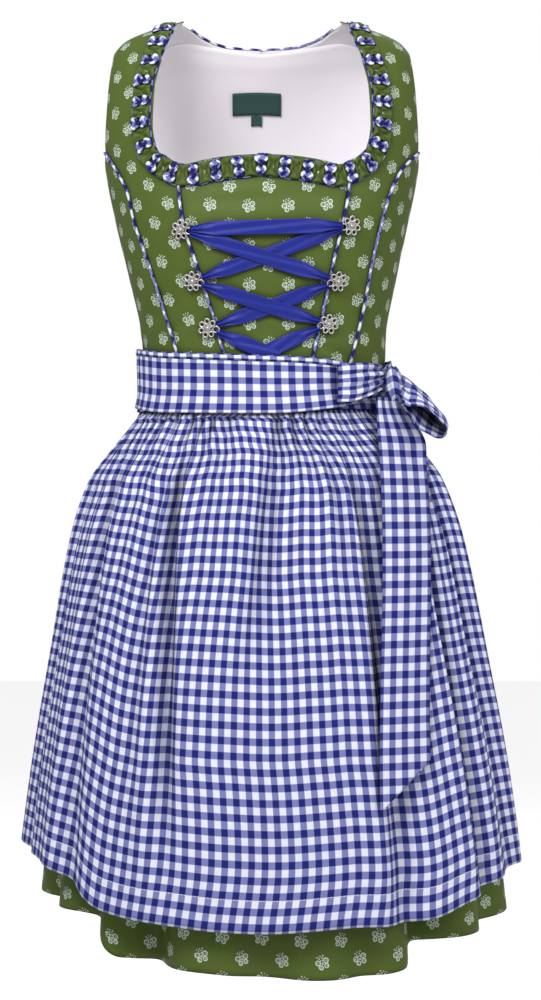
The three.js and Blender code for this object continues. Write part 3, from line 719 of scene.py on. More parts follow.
class DirndlFinish(bpy.types.PropertyGroup):
    """Sizes of the weave and print, and the colours."""

    check_across: size_of("Check across", "Repeat of the check across the cloth", 0.013)
    check_down: size_of("Check down", "Repeat of the check along the cloth", 0.015)
    thread_width: size_of("Thread", "Repeat of the woven threads", 0.0009)
    flower_repeat: size_of("Flower repeat", "Repeat of the printed flower", 0.041)
    skirt_length: size_of("Skirt length", "Waist seam to hem", 0.612)
    apron_length: size_of("Apron length", "Waistband to hem", 0.546)
    skirt_width: size_of("Skirt width", "Both skirt panels' width together", 1.68)
    apron_width: size_of("Apron width", "Width of the apron's panel", 0.88)
    green: colour_of("Green", "Ground of the printed cotton", (0.099, 0.145, 0.025))
    flower: colour_of("Flower", "Printed flowers", (0.68, 0.78, 0.68))
    check_white: colour_of("Check white", "White squares of the check", (0.8, 0.81, 0.9))
    check_blue: colour_of("Check blue", "Single blue stripe, deep thread", (0.155, 0.17, 0.45))
    check_pale: colour_of("Check pale", "Single blue stripe, pale thread", (0.25, 0.27, 0.54))
    check_dark: colour_of("Check dark", "Where two stripes cross", (0.014, 0.017, 0.16))
    ribbon: colour_of("Ribbon", "Satin ribbon", (0.012, 0.022, 0.27))
    lining: colour_of("Lining", "Lining of the bodice", (0.96, 0.93, 0.955))
    label: colour_of("Label", "Bare woven label", (0.012, 0.058, 0.05))
    silver: colour_of("Silver", "Hooks", (0.8, 0.77, 0.74))


# ---- Bodice ----
def seam_across(name, side, height):
    on_side = name + ("_left" if side < 0 else "_right")
    return side * read_off(FRONT_SEAMS, SEAM_COLUMNS, on_side, height)


# Creases of the taut bodice: place across, height, direction in degrees, length, width, depth.
CREASES = (
    (-8, -214, 4, 60, 7, 0.9),
    (42, -206, -10, 45, 6, 0.8),
    (-104, -232, 35, 40, 7, 0.9),
    (112, -225, -40, 45, 7, 0.9),
    (2, -352, 3, 38, 6, 1.0),
    (-70, -388, 12, 40, 6, 1.1),
    (80, -372, -24, 42, 5, 1.4),
    (-104, -350, 28, 40, 6, 1.1),
    (108, -330, -64, 55, 4, 1.5),
    (-118, -330, 68, 50, 5, 1.2),
    (30, -330, 14, 30, 6, 0.7),
    (-32, -300, -12, 34, 7, 0.7),
)


def crease_depth(points, front):
    """How far the taut cloth sinks at its creases. The back has the same ones, mirrored and fainter."""
    x, z = points[..., 0], points[..., 2]
    total = np.zeros(x.shape)
    for across, height, direction, length, width, depth in CREASES:
        place = across if front else -across
        turn = math.radians(direction if front else -direction)
        dx, dz = x - place, z - height
        along = dx * math.cos(turn) + dz * math.sin(turn)
        off = dz * math.cos(turn) - dx * math.sin(turn)
        total += depth * np.exp(-((along / length) ** 2) - (off / width) ** 2)
        total -= 0.5 * depth * np.exp(-((along / length) ** 2) - ((off - 1.6 * width) / width) ** 2)
    return total if front else 0.7 * total


def bodice_panel(name, inner, outer, side, columns, grain, inside, front=True):
    """A panel ruled between two edges of (angle, height) rows, each drawn in by half the seam gap."""
    inner_angle, inner_height = (np.asarray(v)[:, None] for v in inner)
    outer_angle, outer_height = (np.asarray(v)[:, None] for v in outer)
    half_width = section(outer_height)[0]
    toward = np.where(outer_angle == inner_angle, side, np.sign(outer_angle - inner_angle))
    inset = toward * EDGE_INSET / half_width
    share = np.linspace(0, 1, columns + 1)[None, :]
    angle = (inner_angle + inset) * (1 - share) + (outer_angle - inset) * share
    height = inner_height * (1 - share) + outer_height * share
    if toward[len(toward) // 2, 0] < 0:
        angle, height = angle[:, ::-1], height[:, ::-1]
    points = body_point(angle, height)
    sink = crease_depth(points, front)
    points = points - body_normal(angle, height) * sink[..., None]
    uv = cloth_place(angle, height, grain)
    return cloth(name, points, uv, BODICE_CLOTH, materials()["printed_green"], inside)


def strap_rows(table, on_side):
    names = STRAP_COLUMNS
    neck = [column(table, names, "neck_across"), column(table, names, "neck_height")]
    arm = [column(table, names, "arm_across"), column(table, names, "arm_height")]
    return [on_side(*neck), neck[1]], [on_side(*arm), arm[1]]


ROWS_PER_STATION = 8


def refined(*parts):
    """Edge rows joined end to end and made finer."""
    angle = np.concatenate([np.atleast_1d(p[0]) for p in parts])
    height = np.concatenate([np.atleast_1d(p[1]) for p in parts])
    return refine(angle, ROWS_PER_STATION), refine(height, ROWS_PER_STATION)


def build_front_side(side, label):
    mats = materials()
    heights = np.array(PANEL_HEIGHTS)
    neck, arm = strap_rows(FRONT_STRAP, lambda across, height: angle_across(side * across, height))
    neck[0][0] = arm[0][0] = side * (math.pi / 2 - 0.004)
    inner_seam = angle_across(seam_across("inner", side, heights), heights)
    outer_seam = angle_across(seam_across("outer", side, heights), heights)
    inner = refined(neck, (inner_seam, heights))
    outer = refined(arm, (outer_seam, heights))
    name = "bodice_front_" + label
    obj = bodice_panel(name, inner, outer, side, 28, side * 0.75, mats["white_lining"])
    finish_piece(obj, "green_print_cotton", "front_" + label)
    side_heights = np.concatenate([[-151.0], heights])
    side_inner = angle_across(seam_across("outer", side, side_heights), side_heights)
    side_outer_heights = np.minimum(side_heights, ARMHOLE_FLOOR + (side_heights + 151) * 0.2)
    side_outer = np.full(len(side_heights), side * math.pi / 2)
    obj = bodice_panel("bodice_side_" + label, refined((side_inner, side_heights)),
                       refined((side_outer, side_outer_heights)), side, 20, side * 1.3, mats["white_lining"])
    finish_piece(obj, "green_print_cotton", "side_" + label)


def build_front_centre():
    heights = refine(PANEL_HEIGHTS, ROWS_PER_STATION)
    left = angle_across(seam_across("inner", -1, heights), heights)[:, None]
    right = angle_across(seam_across("inner", 1, heights), heights)[:, None]
    half = EDGE_INSET / section(heights)[0][:, None]
    share = np.linspace(0, 1, 49)[None, :]
    angle = (left + half) * (1 - share) + (right - half) * share
    fade = np.clip(1 - (PANEL_HEIGHTS[0] - heights) / 25.0, 0, 1)[:, None]
    height = heights[:, None] + (NECKLINE_MIDDLE - NECKLINE_CORNER) * np.sin(np.pi * share) * fade
    points = body_point(angle, height)
    points = points - body_normal(angle, height) * crease_depth(points, True)[..., None]
    mats = materials()
    obj = cloth("bodice_front_centre", points, cloth_place(angle, height, 0.03), BODICE_CLOTH,
                mats["printed_green"], mats["white_lining"])
    finish_piece(obj, "green_print_cotton", "front_centre")


def build_back_side(side, label):
    def on_back(across, height):
        return side * math.pi - angle_across(side * across, height)

    neck, arm = strap_rows(BACK_STRAP, on_back)
    neck[0][0] = arm[0][0] = side * (math.pi / 2 + 0.004)
    rows = np.array(BACK_ROWS, float)
    centre = (np.full(len(rows), side * math.pi), rows[:, 0])
    reach = len(BACK_ARM_ACROSS)
    at_arm = on_back(np.array(BACK_ARM_ACROSS), rows[:reach, 1])
    at_side = np.full(len(rows) - reach, side * math.pi / 2)
    edge = (np.concatenate([at_arm, at_side]), rows[:, 1])
    mats = materials()
    obj = bodice_panel("bodice_back_" + label, refined(arm, edge), refined(neck, centre), side, 40,
                       side * 2.6, mats["white_lining"], front=False)
    finish_piece(obj, "green_print_cotton", "back_" + label)


def build_lining():
    """The lining hangs a little inside the back, with the bare label and size tab sewn to it."""
    reach = 66
    lift = -5.4
    off = np.linspace(-reach, reach, 61)
    top = smooth([0, 25, 40, reach], [CENTRE_BACK_NECK - 2, -17, -15, -42], np.abs(off))
    share = np.concatenate([np.linspace(0, 0.12, 14)[:-1], np.linspace(0.12, 1, 30)])[:, None]
    angle = np.radians(180 + off)[None, :] + 0 * share
    height = top[None, :] * (1 - share) + (WAIST_SEAM + 4) * share
    ripple = 0.5 * wave(off / 60 + height / 300, 5, 1.6)
    normal = body_normal(angle, height)
    ease = np.clip((top[None, :] - height) / 12, 0, 1)
    points = body_point(angle, height) + normal * (lift * ease - 1.5 * (1 - ease) + ripple * ease)[..., None]
    uv = cloth_place(angle - 2 * math.pi * (angle > 4.6), height, math.pi)
    mats = materials()
    obj = cloth("back_lining", points, uv, LINING_CLOTH, mats["white_lining"])
    finish_piece(obj, "white_lining", "lining_back")
    for name, left, right, top_edge, bottom in (("woven_label", -34.5, 21.5, -61, -86),
                                               ("woven_size_tab", -13, -0.5, -86, -98)):
        across = np.linspace(right, left, 17)[None, :]
        height = np.linspace(top_edge, bottom, 9)[:, None] + 0 * across
        angle = math.pi - angle_across(across + 0 * height, height)
        sag = 1.6 * np.sin(np.linspace(0, math.pi, 17))[None, :]
        points = body_point(angle, height) + body_normal(angle, height) * (lift - 2.6)
        points[..., 2] += sag * 0.8
        uv = together(across, height) * MM
        obj = cloth(name, points, uv, LINING_CLOTH, mats["label_cloth"])
        finish_piece(obj, "dark_green_label", "label" if name == "woven_label" else "size_tab")


# ---- Strips swept on the body ----
def sweep(name, centre, across, out, profile, length_uv, round_uv, material):
    """A closed tube: profile is (stations or 1, k, 2) in across and out."""
    points = centre[:, None, :] + across[:, None, :] * profile[..., 0:1] + out[:, None, :] * profile[..., 1:2]
    stations, size = points.shape[:2]
    faces = [list(f)[::-1] for f in grid_faces(stations, size, ring=True)]
    faces.append(list(range(size)))
    faces.append([(stations - 1) * size + k for k in reversed(range(size))])
    uv = together(round_uv[None, :], length_uv[:, None])
    return new_mesh(name, points.reshape(-1, 3), faces, uv.reshape(-1, 2), [material])


def along_body(angle, height, lift):
    out = body_normal(angle, height)
    points = body_point(angle, height) + out * np.asarray(lift)[..., None]
    along = unit(np.gradient(points, axis=0))
    across = unit(np.cross(along, out))
    distance = run_along(points)
    return points, across, out, along, distance


def outward_check(obj):
    """Turns a closed mesh the right way out."""
    only(obj)
    bpy.ops.object.mode_set(mode="EDIT")
    bpy.ops.mesh.select_all(action="SELECT")
    bpy.ops.mesh.normals_make_consistent(inside=False)
    bpy.ops.object.mode_set(mode="OBJECT")
    return obj


def build_piping(name, angle, height, node):
    points, across, out, _, distance = along_body(angle, height, np.full(len(angle), 1.3))
    turn = np.linspace(0, 2 * math.pi, 11)[:-1]
    radius = 1.7 * (1 + 0.06 * np.sin(distance / 3.1))
    profile = together(np.cos(turn), np.sin(turn)) * radius[:, None, None]
    # The binding is cut on the slant, so its check runs at an angle to the cord.
    girth = np.linspace(0, 10, 10) * MM
    length = distance * MM
    slant = math.radians(38)
    u = girth[None, :] * math.cos(slant) + length[:, None] * math.sin(slant)
    v = length[:, None] * math.cos(slant) - girth[None, :] * math.sin(slant)
    obj = sweep(name, points, across, out, profile, length, girth, materials()["woven_check"])
    set_places(obj.data, together(u, v).reshape(-1, 2))
    outward_check(obj)
    finish_piece(obj, "check_piping", node)


def build_all_piping():
    for seam, top in (("inner", -188), ("outer", -152)):
        for label, side in (("left", -1), ("right", 1)):
            height = np.linspace(top, -384, 120)
            angle = angle_across(seam_across(seam, side, height), height)
            name = "piping_" + seam + "_" + label
            build_piping("bound_" + name, angle, height, name)
    names = STRAP_COLUMNS
    across = np.concatenate([column(BACK_STRAP, names, "neck_across")[1:], [0]])
    height = np.concatenate([column(BACK_STRAP, names, "neck_height")[1:], [CENTRE_BACK_NECK]])
    half_angle = math.pi - angle_across(refine(across, 20), refine(height, 20))
    half_height = refine(height, 20)
    angle = np.concatenate([half_angle, 2 * math.pi - half_angle[-2::-1]])
    height = np.concatenate([half_height, half_height[-2::-1]])
    build_piping("bound_piping_back_neck", angle, height, "piping_back_neck")


# ---- Neck ruche ----
RUCHE_PITCH = 23.5


def ruche_line():
    path = np.array(RUCHE_PATH, float)
    fine = np.stack([refine(path[:, 0], 30), refine(path[:, 1], 30)], axis=1)
    whole = np.concatenate([fine * [-1, 1], fine[-2::-1]])
    angle = angle_across(whole[:, 0], whole[:, 1])
    points, across, out, _, distance = along_body(angle, whole[:, 1], np.full(len(whole), 0.8))
    return points, across, out, distance


def at_distance(values, distance, where):
    return np.stack([np.interp(where, distance, values[:, k]) for k in range(3)], axis=-1)


def build_ruche():
    """A box-pleated strip whose pleat edges are pinched together: green puffs with a cross of creases, and
    between them the check underside folds out as a pair of petals."""
    points, across, out, distance = ruche_line()
    mats = materials()
    total = distance[-1]
    count = round(total / RUCHE_PITCH)
    pitch = total / count
    rng = np.random.default_rng(11)

    def place(s, t, h):
        centre = at_distance(points, distance, s)
        side = unit(at_distance(across, distance, s))
        up = unit(at_distance(out, distance, s))
        return centre + side * t[..., None] + up * h[..., None]

    green_points, green_faces, green_uv = [], [], []
    check_points, check_faces, check_uv = [], [], []

    def add(bucket, grid, uv):
        pts, faces, uvs = bucket
        base = sum(len(p) for p in pts)
        pts.append(grid.reshape(-1, 3))
        uvs.append(uv.reshape(-1, 2))
        faces.extend((grid_faces(*grid.shape[:2])[:, ::-1] + base).tolist())

    green, check = (green_points, green_faces, green_uv), (check_points, check_faces, check_uv)
    # The flat backing that everything sits on.
    s = np.linspace(0, total, 5 * count)[:, None]
    t = np.linspace(-10.5, 10.5, 9)[None, :]
    base = place(s + 0 * t, t + 0 * s, 0.6 + 1.2 * np.cos(t / 10.5 * math.pi / 2) + 0 * s)
    add(green, base, together(t * MM, s * MM))
    for k in range(count):
        middle = (k + 0.5) * pitch
        lean = rng.uniform(-0.8, 0.8)
        tall = rng.uniform(0.85, 1.15)
        # Puff: four lobes round a pinch, with a cross of creases between them.
        a = np.linspace(-1, 1, 21)[:, None]
        b = np.linspace(-1, 1, 25)[None, :]
        s = middle + a * (7.4 - 1.0 * (1 - np.abs(b))) + lean * b
        t = b * 11.0 + 0.5 * np.sin(3 * a + k)
        far = np.maximum(np.abs(a), np.abs(b))
        lobes = np.abs(np.abs(a) - np.abs(b))
        h = 1.2 + 5.6 * tall * far**0.7 * np.clip(lobes, 0, 1) ** 0.55 * (1 - 0.8 * far**5)
        h = h + 1.2 * (1 - far**4) * far
        shift = (k % 2) * 20.5
        base_uv = (rng.uniform(-4, 4) + shift, rng.uniform(-4, 4) + 20.5 - shift)
        uv = together((t + base_uv[0]) * MM, (s - middle + base_uv[1]) * MM)
        add(green, place(s, t, h), uv)
        # Between this puff and the next, two cups of the check side open from a knot.
        if k == count - 1:
            continue
        gap = (k + 1) * pitch
        for sign in (-1, 1):
            size = rng.uniform(0.9, 1.12)
            swing = rng.uniform(-1.2, 1.2)
            a = np.linspace(-1, 1, 17)[:, None]
            b = np.linspace(0, 1, 15)[None, :]
            half = 6.2 * size * np.sin((0.14 + 0.72 * b) * math.pi * 0.86) ** 0.9
            s = gap + a * half + swing * b
            t = sign * (0.2 + 10.8 * size * b * (1 - 0.2 * a**2))
            rim = np.abs(a)
            h = 2.0 + 5.2 * size * np.sin((0.08 + 0.8 * b) * math.pi) ** 0.6 * (0.3 + 0.7 * rim**1.5)
            h = h - 1.4 * np.exp(-((a / 0.16) ** 2)) * b - 2.2 * rim**8
            across_uv = (s - gap) * 1.1 + rng.uniform(-1.5, 1.5) + 1.6 * np.sin(0.9 * t + k)
            along_uv = 1.5 * np.abs(t) + rng.uniform(-6, 4) + 1.4 * np.sin(0.8 * (s - gap) + 2 * k)
            uv = together(across_uv * MM, along_uv * MM)
            grid = place(s, t + 0 * a, h)
            add(check, grid if sign > 0 else grid[:, ::-1], uv if sign > 0 else uv[:, ::-1])
        # The knot: a small white roll over the pinch.
        a = np.linspace(-1, 1, 9)[:, None]
        b = np.linspace(-1, 1, 9)[None, :]
        grid = place(gap + 1.7 * a + 0 * b, 3.4 * b + 0 * a, 3.2 + 1.9 * (1 - a**2) * (1 - 0.4 * b**2))
        uv = together((0.2 * a + 0 * b) * MM, (0.3 * b + 0 * a) * MM)
        add(check, grid, uv)
    for name, bucket, material, slot in (
        ("ruche_green_puffs", green, "printed_green", "green_print_cotton"),
        ("ruche_check_petals", check, "woven_check", "blue_check_cotton"),
    ):
        pts, faces, uvs = bucket
        obj = new_mesh(name, np.concatenate(pts), faces, np.concatenate(uvs), [mats[material]])
        thicken(obj, RUCHE_CLOTH)
        finish_piece(obj, slot, "neck_ruche")
    # The strip's two bound edges.
    for name, offset in (("inner", -RUCHE_HALF_WIDTH), ("outer", RUCHE_HALF_WIDTH)):
        centre = points + across * offset + out * 0.6
        turn = np.linspace(0, 2 * math.pi, 9)[:-1]
        profile = 0.9 * together(np.cos(turn), np.sin(turn))[None]
        wobble = 0.5 * np.sin(distance / 3.7 + offset)
        centre = centre + across * wobble[:, None]
        obj = sweep("ruche_edge_" + name, centre, across, out, profile, distance * MM,
                    np.linspace(0, 5, 8) * MM, mats["woven_check"])
        outward_check(obj)
        finish_piece(obj, "check_piping", "neck_ruche")


# ---- Hooks and ribbon ----
def add_ring(radius, wire, at, segments, around, turn=0.0):
    """A ring of round wire, lying flat, in millimetres."""
    bpy.ops.mesh.primitive_torus_add(
        major_segments=segments, minor_segments=around, major_radius=radius * MM, minor_radius=wire * MM,
        location=[value * MM for value in at], rotation=(0, 0, turn))
    return bpy.context.object


def build_hook(label, across, height):
    """An openwork rosette: seven petal rings round a ball, the inward one larger."""
    parts = []
    petals = 7
    bpy.ops.object.select_all(action="DESELECT")
    bpy.ops.mesh.primitive_cylinder_add(vertices=28, radius=7.6 * MM, depth=0.5 * MM,
                                        location=(0, 0, 0.1 * MM))
    plate = bpy.context.object
    plate.data.materials.append(materials()["tarnished_silver"])
    for k in range(petals):
        turn = 2 * math.pi * k / petals
        eye = k == 0
        reach = 9.2 if eye else 7.3
        at = (reach * math.cos(turn), reach * math.sin(turn), 0.9)
        petal = add_ring(3.2 if eye else 2.5, 0.8, at, 22, 8, turn)
        petal.scale = (1.1, 1.0, 0.9)
        parts.append(petal)
        between = turn + math.pi / petals
        at = (3.75 * math.cos(between), 3.75 * math.sin(between), 1.3)
        parts.append(add_ring(0.95, 0.42, at, 12, 6))
    parts.append(add_ring(2.5, 0.4, (0, 0, 1.2), 28, 8))
    bpy.ops.mesh.primitive_uv_sphere_add(segments=24, ring_count=14, radius=2.1 * MM,
                                         location=(0, 0, 1.3 * MM))
    parts.append(bpy.context.object)
    for part in parts:
        part.data.materials.append(materials()["antique_silver"])
    parts.append(plate)
    bpy.ops.object.select_all(action="DESELECT")
    for part in parts:
        part.select_set(True)
    bpy.context.view_layer.objects.active = parts[0]
    bpy.ops.object.join()
    hook = bpy.context.object
    bpy.ops.object.transform_apply(location=True, rotation=True, scale=True)
    angle = angle_across(across, height)
    out = Vector(body_normal(angle, np.float64(height)).tolist())
    inward = Vector((-math.copysign(1, across), 0, -0.12))
    upward = out.cross(inward).normalized()
    level = upward.cross(out).normalized()
    place = Vector((body_point(angle, height) * MM).tolist()) + out * 3.6 * MM
    frame_matrix = Matrix((level, upward, out)).transposed().to_4x4()
    frame_matrix.translation = place
    hook.data.transform(frame_matrix)
    hook.matrix_world = Matrix.Identity(4)
    hook.name = hook.data.name = "rosette_" + label
    hook.data.polygons.foreach_set("use_smooth", np.ones(len(hook.data.polygons), bool))
    finish_piece(hook, "antique_silver", "hook_" + label)


def build_lace(name, start, end, lift):
    """A stretch of satin ribbon, pinched where a hook holds it and bellied between."""
    begin = np.array(HOOKS[start], float)
    held = isinstance(end, str)
    finish_at = np.array(HOOKS[end] if held else (end, BAND_CROSSING - 4), float)
    toward = unit(finish_at - begin)
    begin = begin + toward * 10.5
    if held:
        finish_at = finish_at - toward * 10.5
    share = np.linspace(0, 1, 61)
    line = begin[None, :] * (1 - share[:, None]) + finish_at[None, :] * share[:, None]
    sag = 1.5 * np.sin(math.pi * share) if held else 0 * share
    line[:, 1] -= sag
    angle = angle_across(line[:, 0], line[:, 1])
    near = np.minimum(share, 1 - share if held else 1) * np.linalg.norm(finish_at - begin)
    # Where it leaves a hook the ribbon is folded narrow and stands a little higher.
    spread = np.clip(near / 30.0, 0, 1)
    spread = eased(spread)
    lift_along = lift + 2.2 * np.exp(-near / 7.0)
    points, across, out, _, distance = along_body(angle, line[:, 1], lift_along)
    half = 3.0 + 4.6 * spread
    t = np.linspace(-1, 1, 17)[None, :]
    fold = (1 - spread)[:, None] * 1.6 * np.cos(t * math.pi * 1.5)
    fold = fold + 0.35 * spread[:, None] * np.cos(t * 5 + share[:, None] * 9)
    grid = points[:, None, :] + across[:, None, :] * (half[:, None] * t)[..., None]
    grid = grid + out[:, None, :] * fold[..., None]
    uv = together(t * 7.5 * MM, distance[:, None] * MM)
    normal = np.cross(grid[1, 8] - grid[0, 8], grid[0, 9] - grid[0, 8])
    if np.dot(normal, out[0]) < 0:
        grid, uv = grid[:, ::-1], uv[:, ::-1]
    obj = cloth("ribbon_" + name, grid, uv, RIBBON_CLOTH, materials()["royal_satin"])
    finish_piece(obj, "blue_satin_ribbon", name)


# ---- Hung cloth ----
def hang(surface, start, end, columns, top, length, rows, hem, width):
    """Cloth walked down a surface, from one angle to another.

    At every height the gathers are as deep as it takes to use up the cloth's width, and the columns keep
    equal shares of the run, so that gathers hide cloth instead of squeezing it. Each column is as long as
    the cloth, less what its hem is drawn up.
    """
    step = 2.5
    most = 1.5  # the deepest that the gathers may grow
    dense = np.radians(np.linspace(start, end, 2400))
    share = np.linspace(0, 1, columns)
    angle = np.interp(share * (len(dense) - 1), np.arange(len(dense)), dense)
    lengths = length - smooth([row[0] for row in hem], [row[1] for row in hem], np.degrees(angle))
    walked = np.zeros(columns)
    points, marks = [], []
    for k in range(int(1.08 * length / step)):
        fallen = np.interp(dense, angle, np.clip(walked / lengths, 0, 1.05))

        def run_at(depth):
            line = surface(dense, np.full(len(dense), top - k * step), fallen, depth)
            return line, run_along(line)

        low, high = 0.0, most
        for _ in range(7):
            middle = (low + high) / 2
            low, high = (middle, high) if run_at(middle)[1][-1] < width else (low, middle)
        line, run = run_at((low + high) / 2)
        place = share * run[-1]
        following = np.stack([np.interp(place, run, line[:, axis]) for axis in range(3)], axis=-1)
        angle = np.interp(place, run, dense)
        if points:
            walked = walked + evened(np.linalg.norm(following - points[-1], axis=1), columns // 12)
        points.append(following)
        marks.append(walked)
    points, marks = np.array(points), np.array(marks)
    grid = np.empty((len(rows), columns, 3))
    for j in range(columns):
        for axis in range(3):
            grid[:, j, axis] = np.interp(rows * lengths[j], marks[:, j], points[:, j, axis])
    # Near the seam the gathers drag the rows of the weave up and down.
    drag = 3.2 * gathered(share[None, :], 17, 0.8, 1.2) * np.exp(-rows[:, None] / 0.3)
    uv = together(share[None, :] * width, -rows[:, None] * length + drag) * MM
    return grid, uv


def evened(values, reach):
    """Values averaged softly over their neighbours on each side."""
    weights = np.hanning(2 * reach + 3)[1:-1]
    return np.convolve(np.pad(values, reach, mode="edge"), weights / weights.sum(), mode="valid")


def trough(degrees, middle, spread):
    off = np.mod(degrees - middle + 180, 360) - 180
    return np.exp(-((off / spread) ** 2))


def gathered(share, count, seed, sharp=0.75):
    """Rounded ridges with narrow valleys, about count of them, unevenly spaced and high. From 0 to 1."""
    uneven = share + 0.32 / count * (np.sin(2 * np.pi * (count / 3.7) * share + seed)
                                     + np.sin(2 * np.pi * (count / 6.1) * share + 2.3 * seed))
    height = 0.8 + 0.2 * np.sin(2 * np.pi * (count / 4.9) * share + 1.7 * seed)
    return height * np.abs(np.sin(np.pi * count * uneven)) ** sharp


def apron_surface(angle, height, fallen, depth):
    degrees = np.degrees(angle)
    share = (degrees - APRON_LEFT) / (APRON_RIGHT - APRON_LEFT)
    sink = np.zeros_like(degrees)
    for top, bottom, spread, deep, fades in APRON_FOLDS:
        middle = top + (bottom - top) * fallen
        strength = np.clip(fallen * 5, 0, 1) * np.clip((fades - fallen) / 0.25, 0, 1)
        width = spread * (0.6 + 0.5 * fallen)
        sink = sink + deep * strength * (trough(degrees, middle, width)
                                         - 0.45 * trough(degrees, middle - 1.9 * width, width))
    seam = np.clip(fallen / 0.02, 0.2, 1)
    wander = share + 0.01 * fallen
    gathers = 7.5 * seam * np.exp(-((fallen / 0.17) ** 1.6)) * (gathered(wander, 25, 1.3) - 0.55)
    folds = 8.0 * np.clip(fallen * 9, 0, 1) * np.exp(-((fallen / 0.42) ** 2))
    folds = folds * (gathered(wander, 11, 0.4, 0.8) - 0.6)
    soft = 3.0 * np.clip(fallen * 2, 0, 1) * wave(share + 0.03 * fallen, 21, 5.5, 0.4)
    return body_point(angle, height, depth * (gathers + folds) + soft - sink)


def skirt_surface(angle, height, fallen, depth):
    degrees = np.degrees(angle)
    grown = fallen**1.15
    folds = np.zeros_like(degrees)
    for middle, spread, deep in SKIRT_FOLDS:
        folds = folds + deep * grown * trough(degrees, middle, spread * (0.75 + 0.3 * fallen))
    turned_to = np.mod(degrees + 180, 360) - 180
    rise = np.clip((turned_to - (APRON_LEFT - 14)) / 12, 0, 1)
    fall = np.clip(((APRON_RIGHT + 14) - turned_to) / 12, 0, 1)
    in_front = eased(np.minimum(rise, fall))
    tucked = (13 + 10 * np.clip(fallen * 2, 0, 1)) * np.clip(fallen * 14, 0.2, 1)
    share = degrees / 360
    seam = np.clip(fallen / 0.02, 0.2, 1)
    loose = 1 - 0.8 * in_front
    gathers = 7.0 * seam * np.exp(-((fallen / 0.22) ** 1.5)) * gathered(share, 60, 2.1)
    pleats = 9.0 * np.clip(fallen * 8, 0, 1) * np.exp(-((fallen / 0.7) ** 2)) * gathered(share, 29, 0.9, 0.9)
    sway = 5.0 * fallen * wave(share + 0.02 * fallen, 42, 11, 0.3)
    return body_point(angle, height, loose * (depth * (gathers + pleats) + sway) - folds - in_front * tucked)


def build_skirt():
    finish = bpy.context.scene.dirndl_finish
    length = finish.skirt_length / MM
    width = finish.skirt_width / MM / 2
    mats = materials()
    gap = 0.02
    top = WAIST_SEAM - SEAM_GAP
    for name, start, end, columns, row_count in (("front", -90, 90, 300, 110), ("back", 90, 270, 380, 115)):
        rows = np.linspace(0, 1, row_count) ** 1.12
        grid, uv = hang(skirt_surface, start + gap, end - gap, columns, top, length, rows, SKIRT_HEM, width)
        obj = cloth("gathered_skirt_" + name, grid, uv, SKIRT_CLOTH, mats["printed_green"])
        finish_piece(obj, "green_print_cotton", "skirt_" + name)


def build_apron():
    finish = bpy.context.scene.dirndl_finish
    length = finish.apron_length / MM
    width = finish.apron_width / MM
    rows = np.linspace(0, 1, 112) ** 1.12
    grid, uv = hang(apron_surface, APRON_LEFT, APRON_RIGHT, 400, APRON_TOP, length, rows, APRON_HEM, width)
    obj = cloth("apron_skirt", grid, uv, APRON_CLOTH, materials()["apron_check"])
    finish_piece(obj, "blue_check_cotton", "apron_panel")


def even_angles(start, end, count, height):
    """Angles evenly spaced along the cloth of one section."""
    fine = np.radians(np.linspace(start, end, 2000))
    points = body_point(fine, height)
    run = run_along(points)
    return np.interp(np.linspace(0, run[-1], count), run, fine)


def band_grid(angle, top, bottom, rows):
    share = np.linspace(0, 1, rows)[:, None]
    height = top[None, :] * (1 - share) + bottom[None, :] * share
    return angle[None, :] + 0 * height, height, share


def build_bands():
    mats = materials()
    angle = even_angles(APRON_LEFT + 4, APRON_RIGHT - 4, 160, -410)
    a, height, share = band_grid(angle, np.full(160, -388.0), np.full(160, APRON_TOP + 0.2), 14)
    puff = 1.0 * np.sin(math.pi * share)
    points = body_point(a, height, 3.2 + puff + 0.3 * wave(a, 51, 3))
    run = run_along(points[7])
    uv = together(-share * 42 * MM, run[None, :] * MM)
    obj = cloth("apron_band", points, uv, TIE_CLOTH, mats["woven_check"])
    finish_piece(obj, "blue_check_cotton", "apron_waistband")

    angle = np.linspace(-math.pi, math.pi, 361)[:-1]
    degrees = np.degrees(angle)
    top, bottom = (read_off(TIE_WRAP, TIE_COLUMNS, edge, degrees) for edge in ("top", "bottom"))
    a, height, share = band_grid(angle, top, bottom, 30)
    puff = 1.2 * np.sin(math.pi * share)
    # Towards the knot the tie is drawn together in lengthwise folds.
    bunched = np.exp(-(((degrees - 56) / 20) ** 2)) + 0.25 * np.exp(-(((degrees + 150) / 60) ** 2))
    folds = 1.5 * bunched * np.sin(share * 17 + degrees / 30)
    points = body_point(a, height, 6.6 + puff + folds + 0.25 * np.sin(degrees / 9))
    run = run_along(points[15])
    uv = together(-share * 58 * MM, run[None, :] * MM)
    obj = cloth("tie_round_waist", points, uv, TIE_CLOTH, mats["woven_check"], ring=True)
    finish_piece(obj, "blue_check_cotton", "apron_tie_wrap")
    # The tie's folded edge, stitched down along its top.
    edge_share = np.array([0.0, 0.5, 1.0])[:, None]
    edge_height = top[None, :] - 1.2 - 5.5 * edge_share
    points = body_point(angle[None, :], edge_height, 7.5 + 0.25 * np.sin(edge_share * math.pi))
    uv = together(-edge_share * 5.5 * MM + 0.0065, run[None, :] * MM + 0.004)
    obj = cloth("tie_stitched_edge", points, uv, EDGE_CLOTH, mats["woven_check"], ring=True)
    finish_piece(obj, "blue_check_cotton", "apron_tie_wrap")


# ---- Bow ----
def spline(points, count):
    """Evenly spaced places along a smooth curve through points."""
    points = np.asarray(points, float)
    at = np.linspace(0, len(points) - 1, 400)
    fine = np.stack([catmull(points[:, k], at) for k in range(points.shape[1])], axis=-1)
    run = run_along(fine)
    wanted = np.linspace(0, run[-1], count)
    return np.stack([np.interp(wanted, run, fine[:, k]) for k in range(fine.shape[1])], axis=-1)


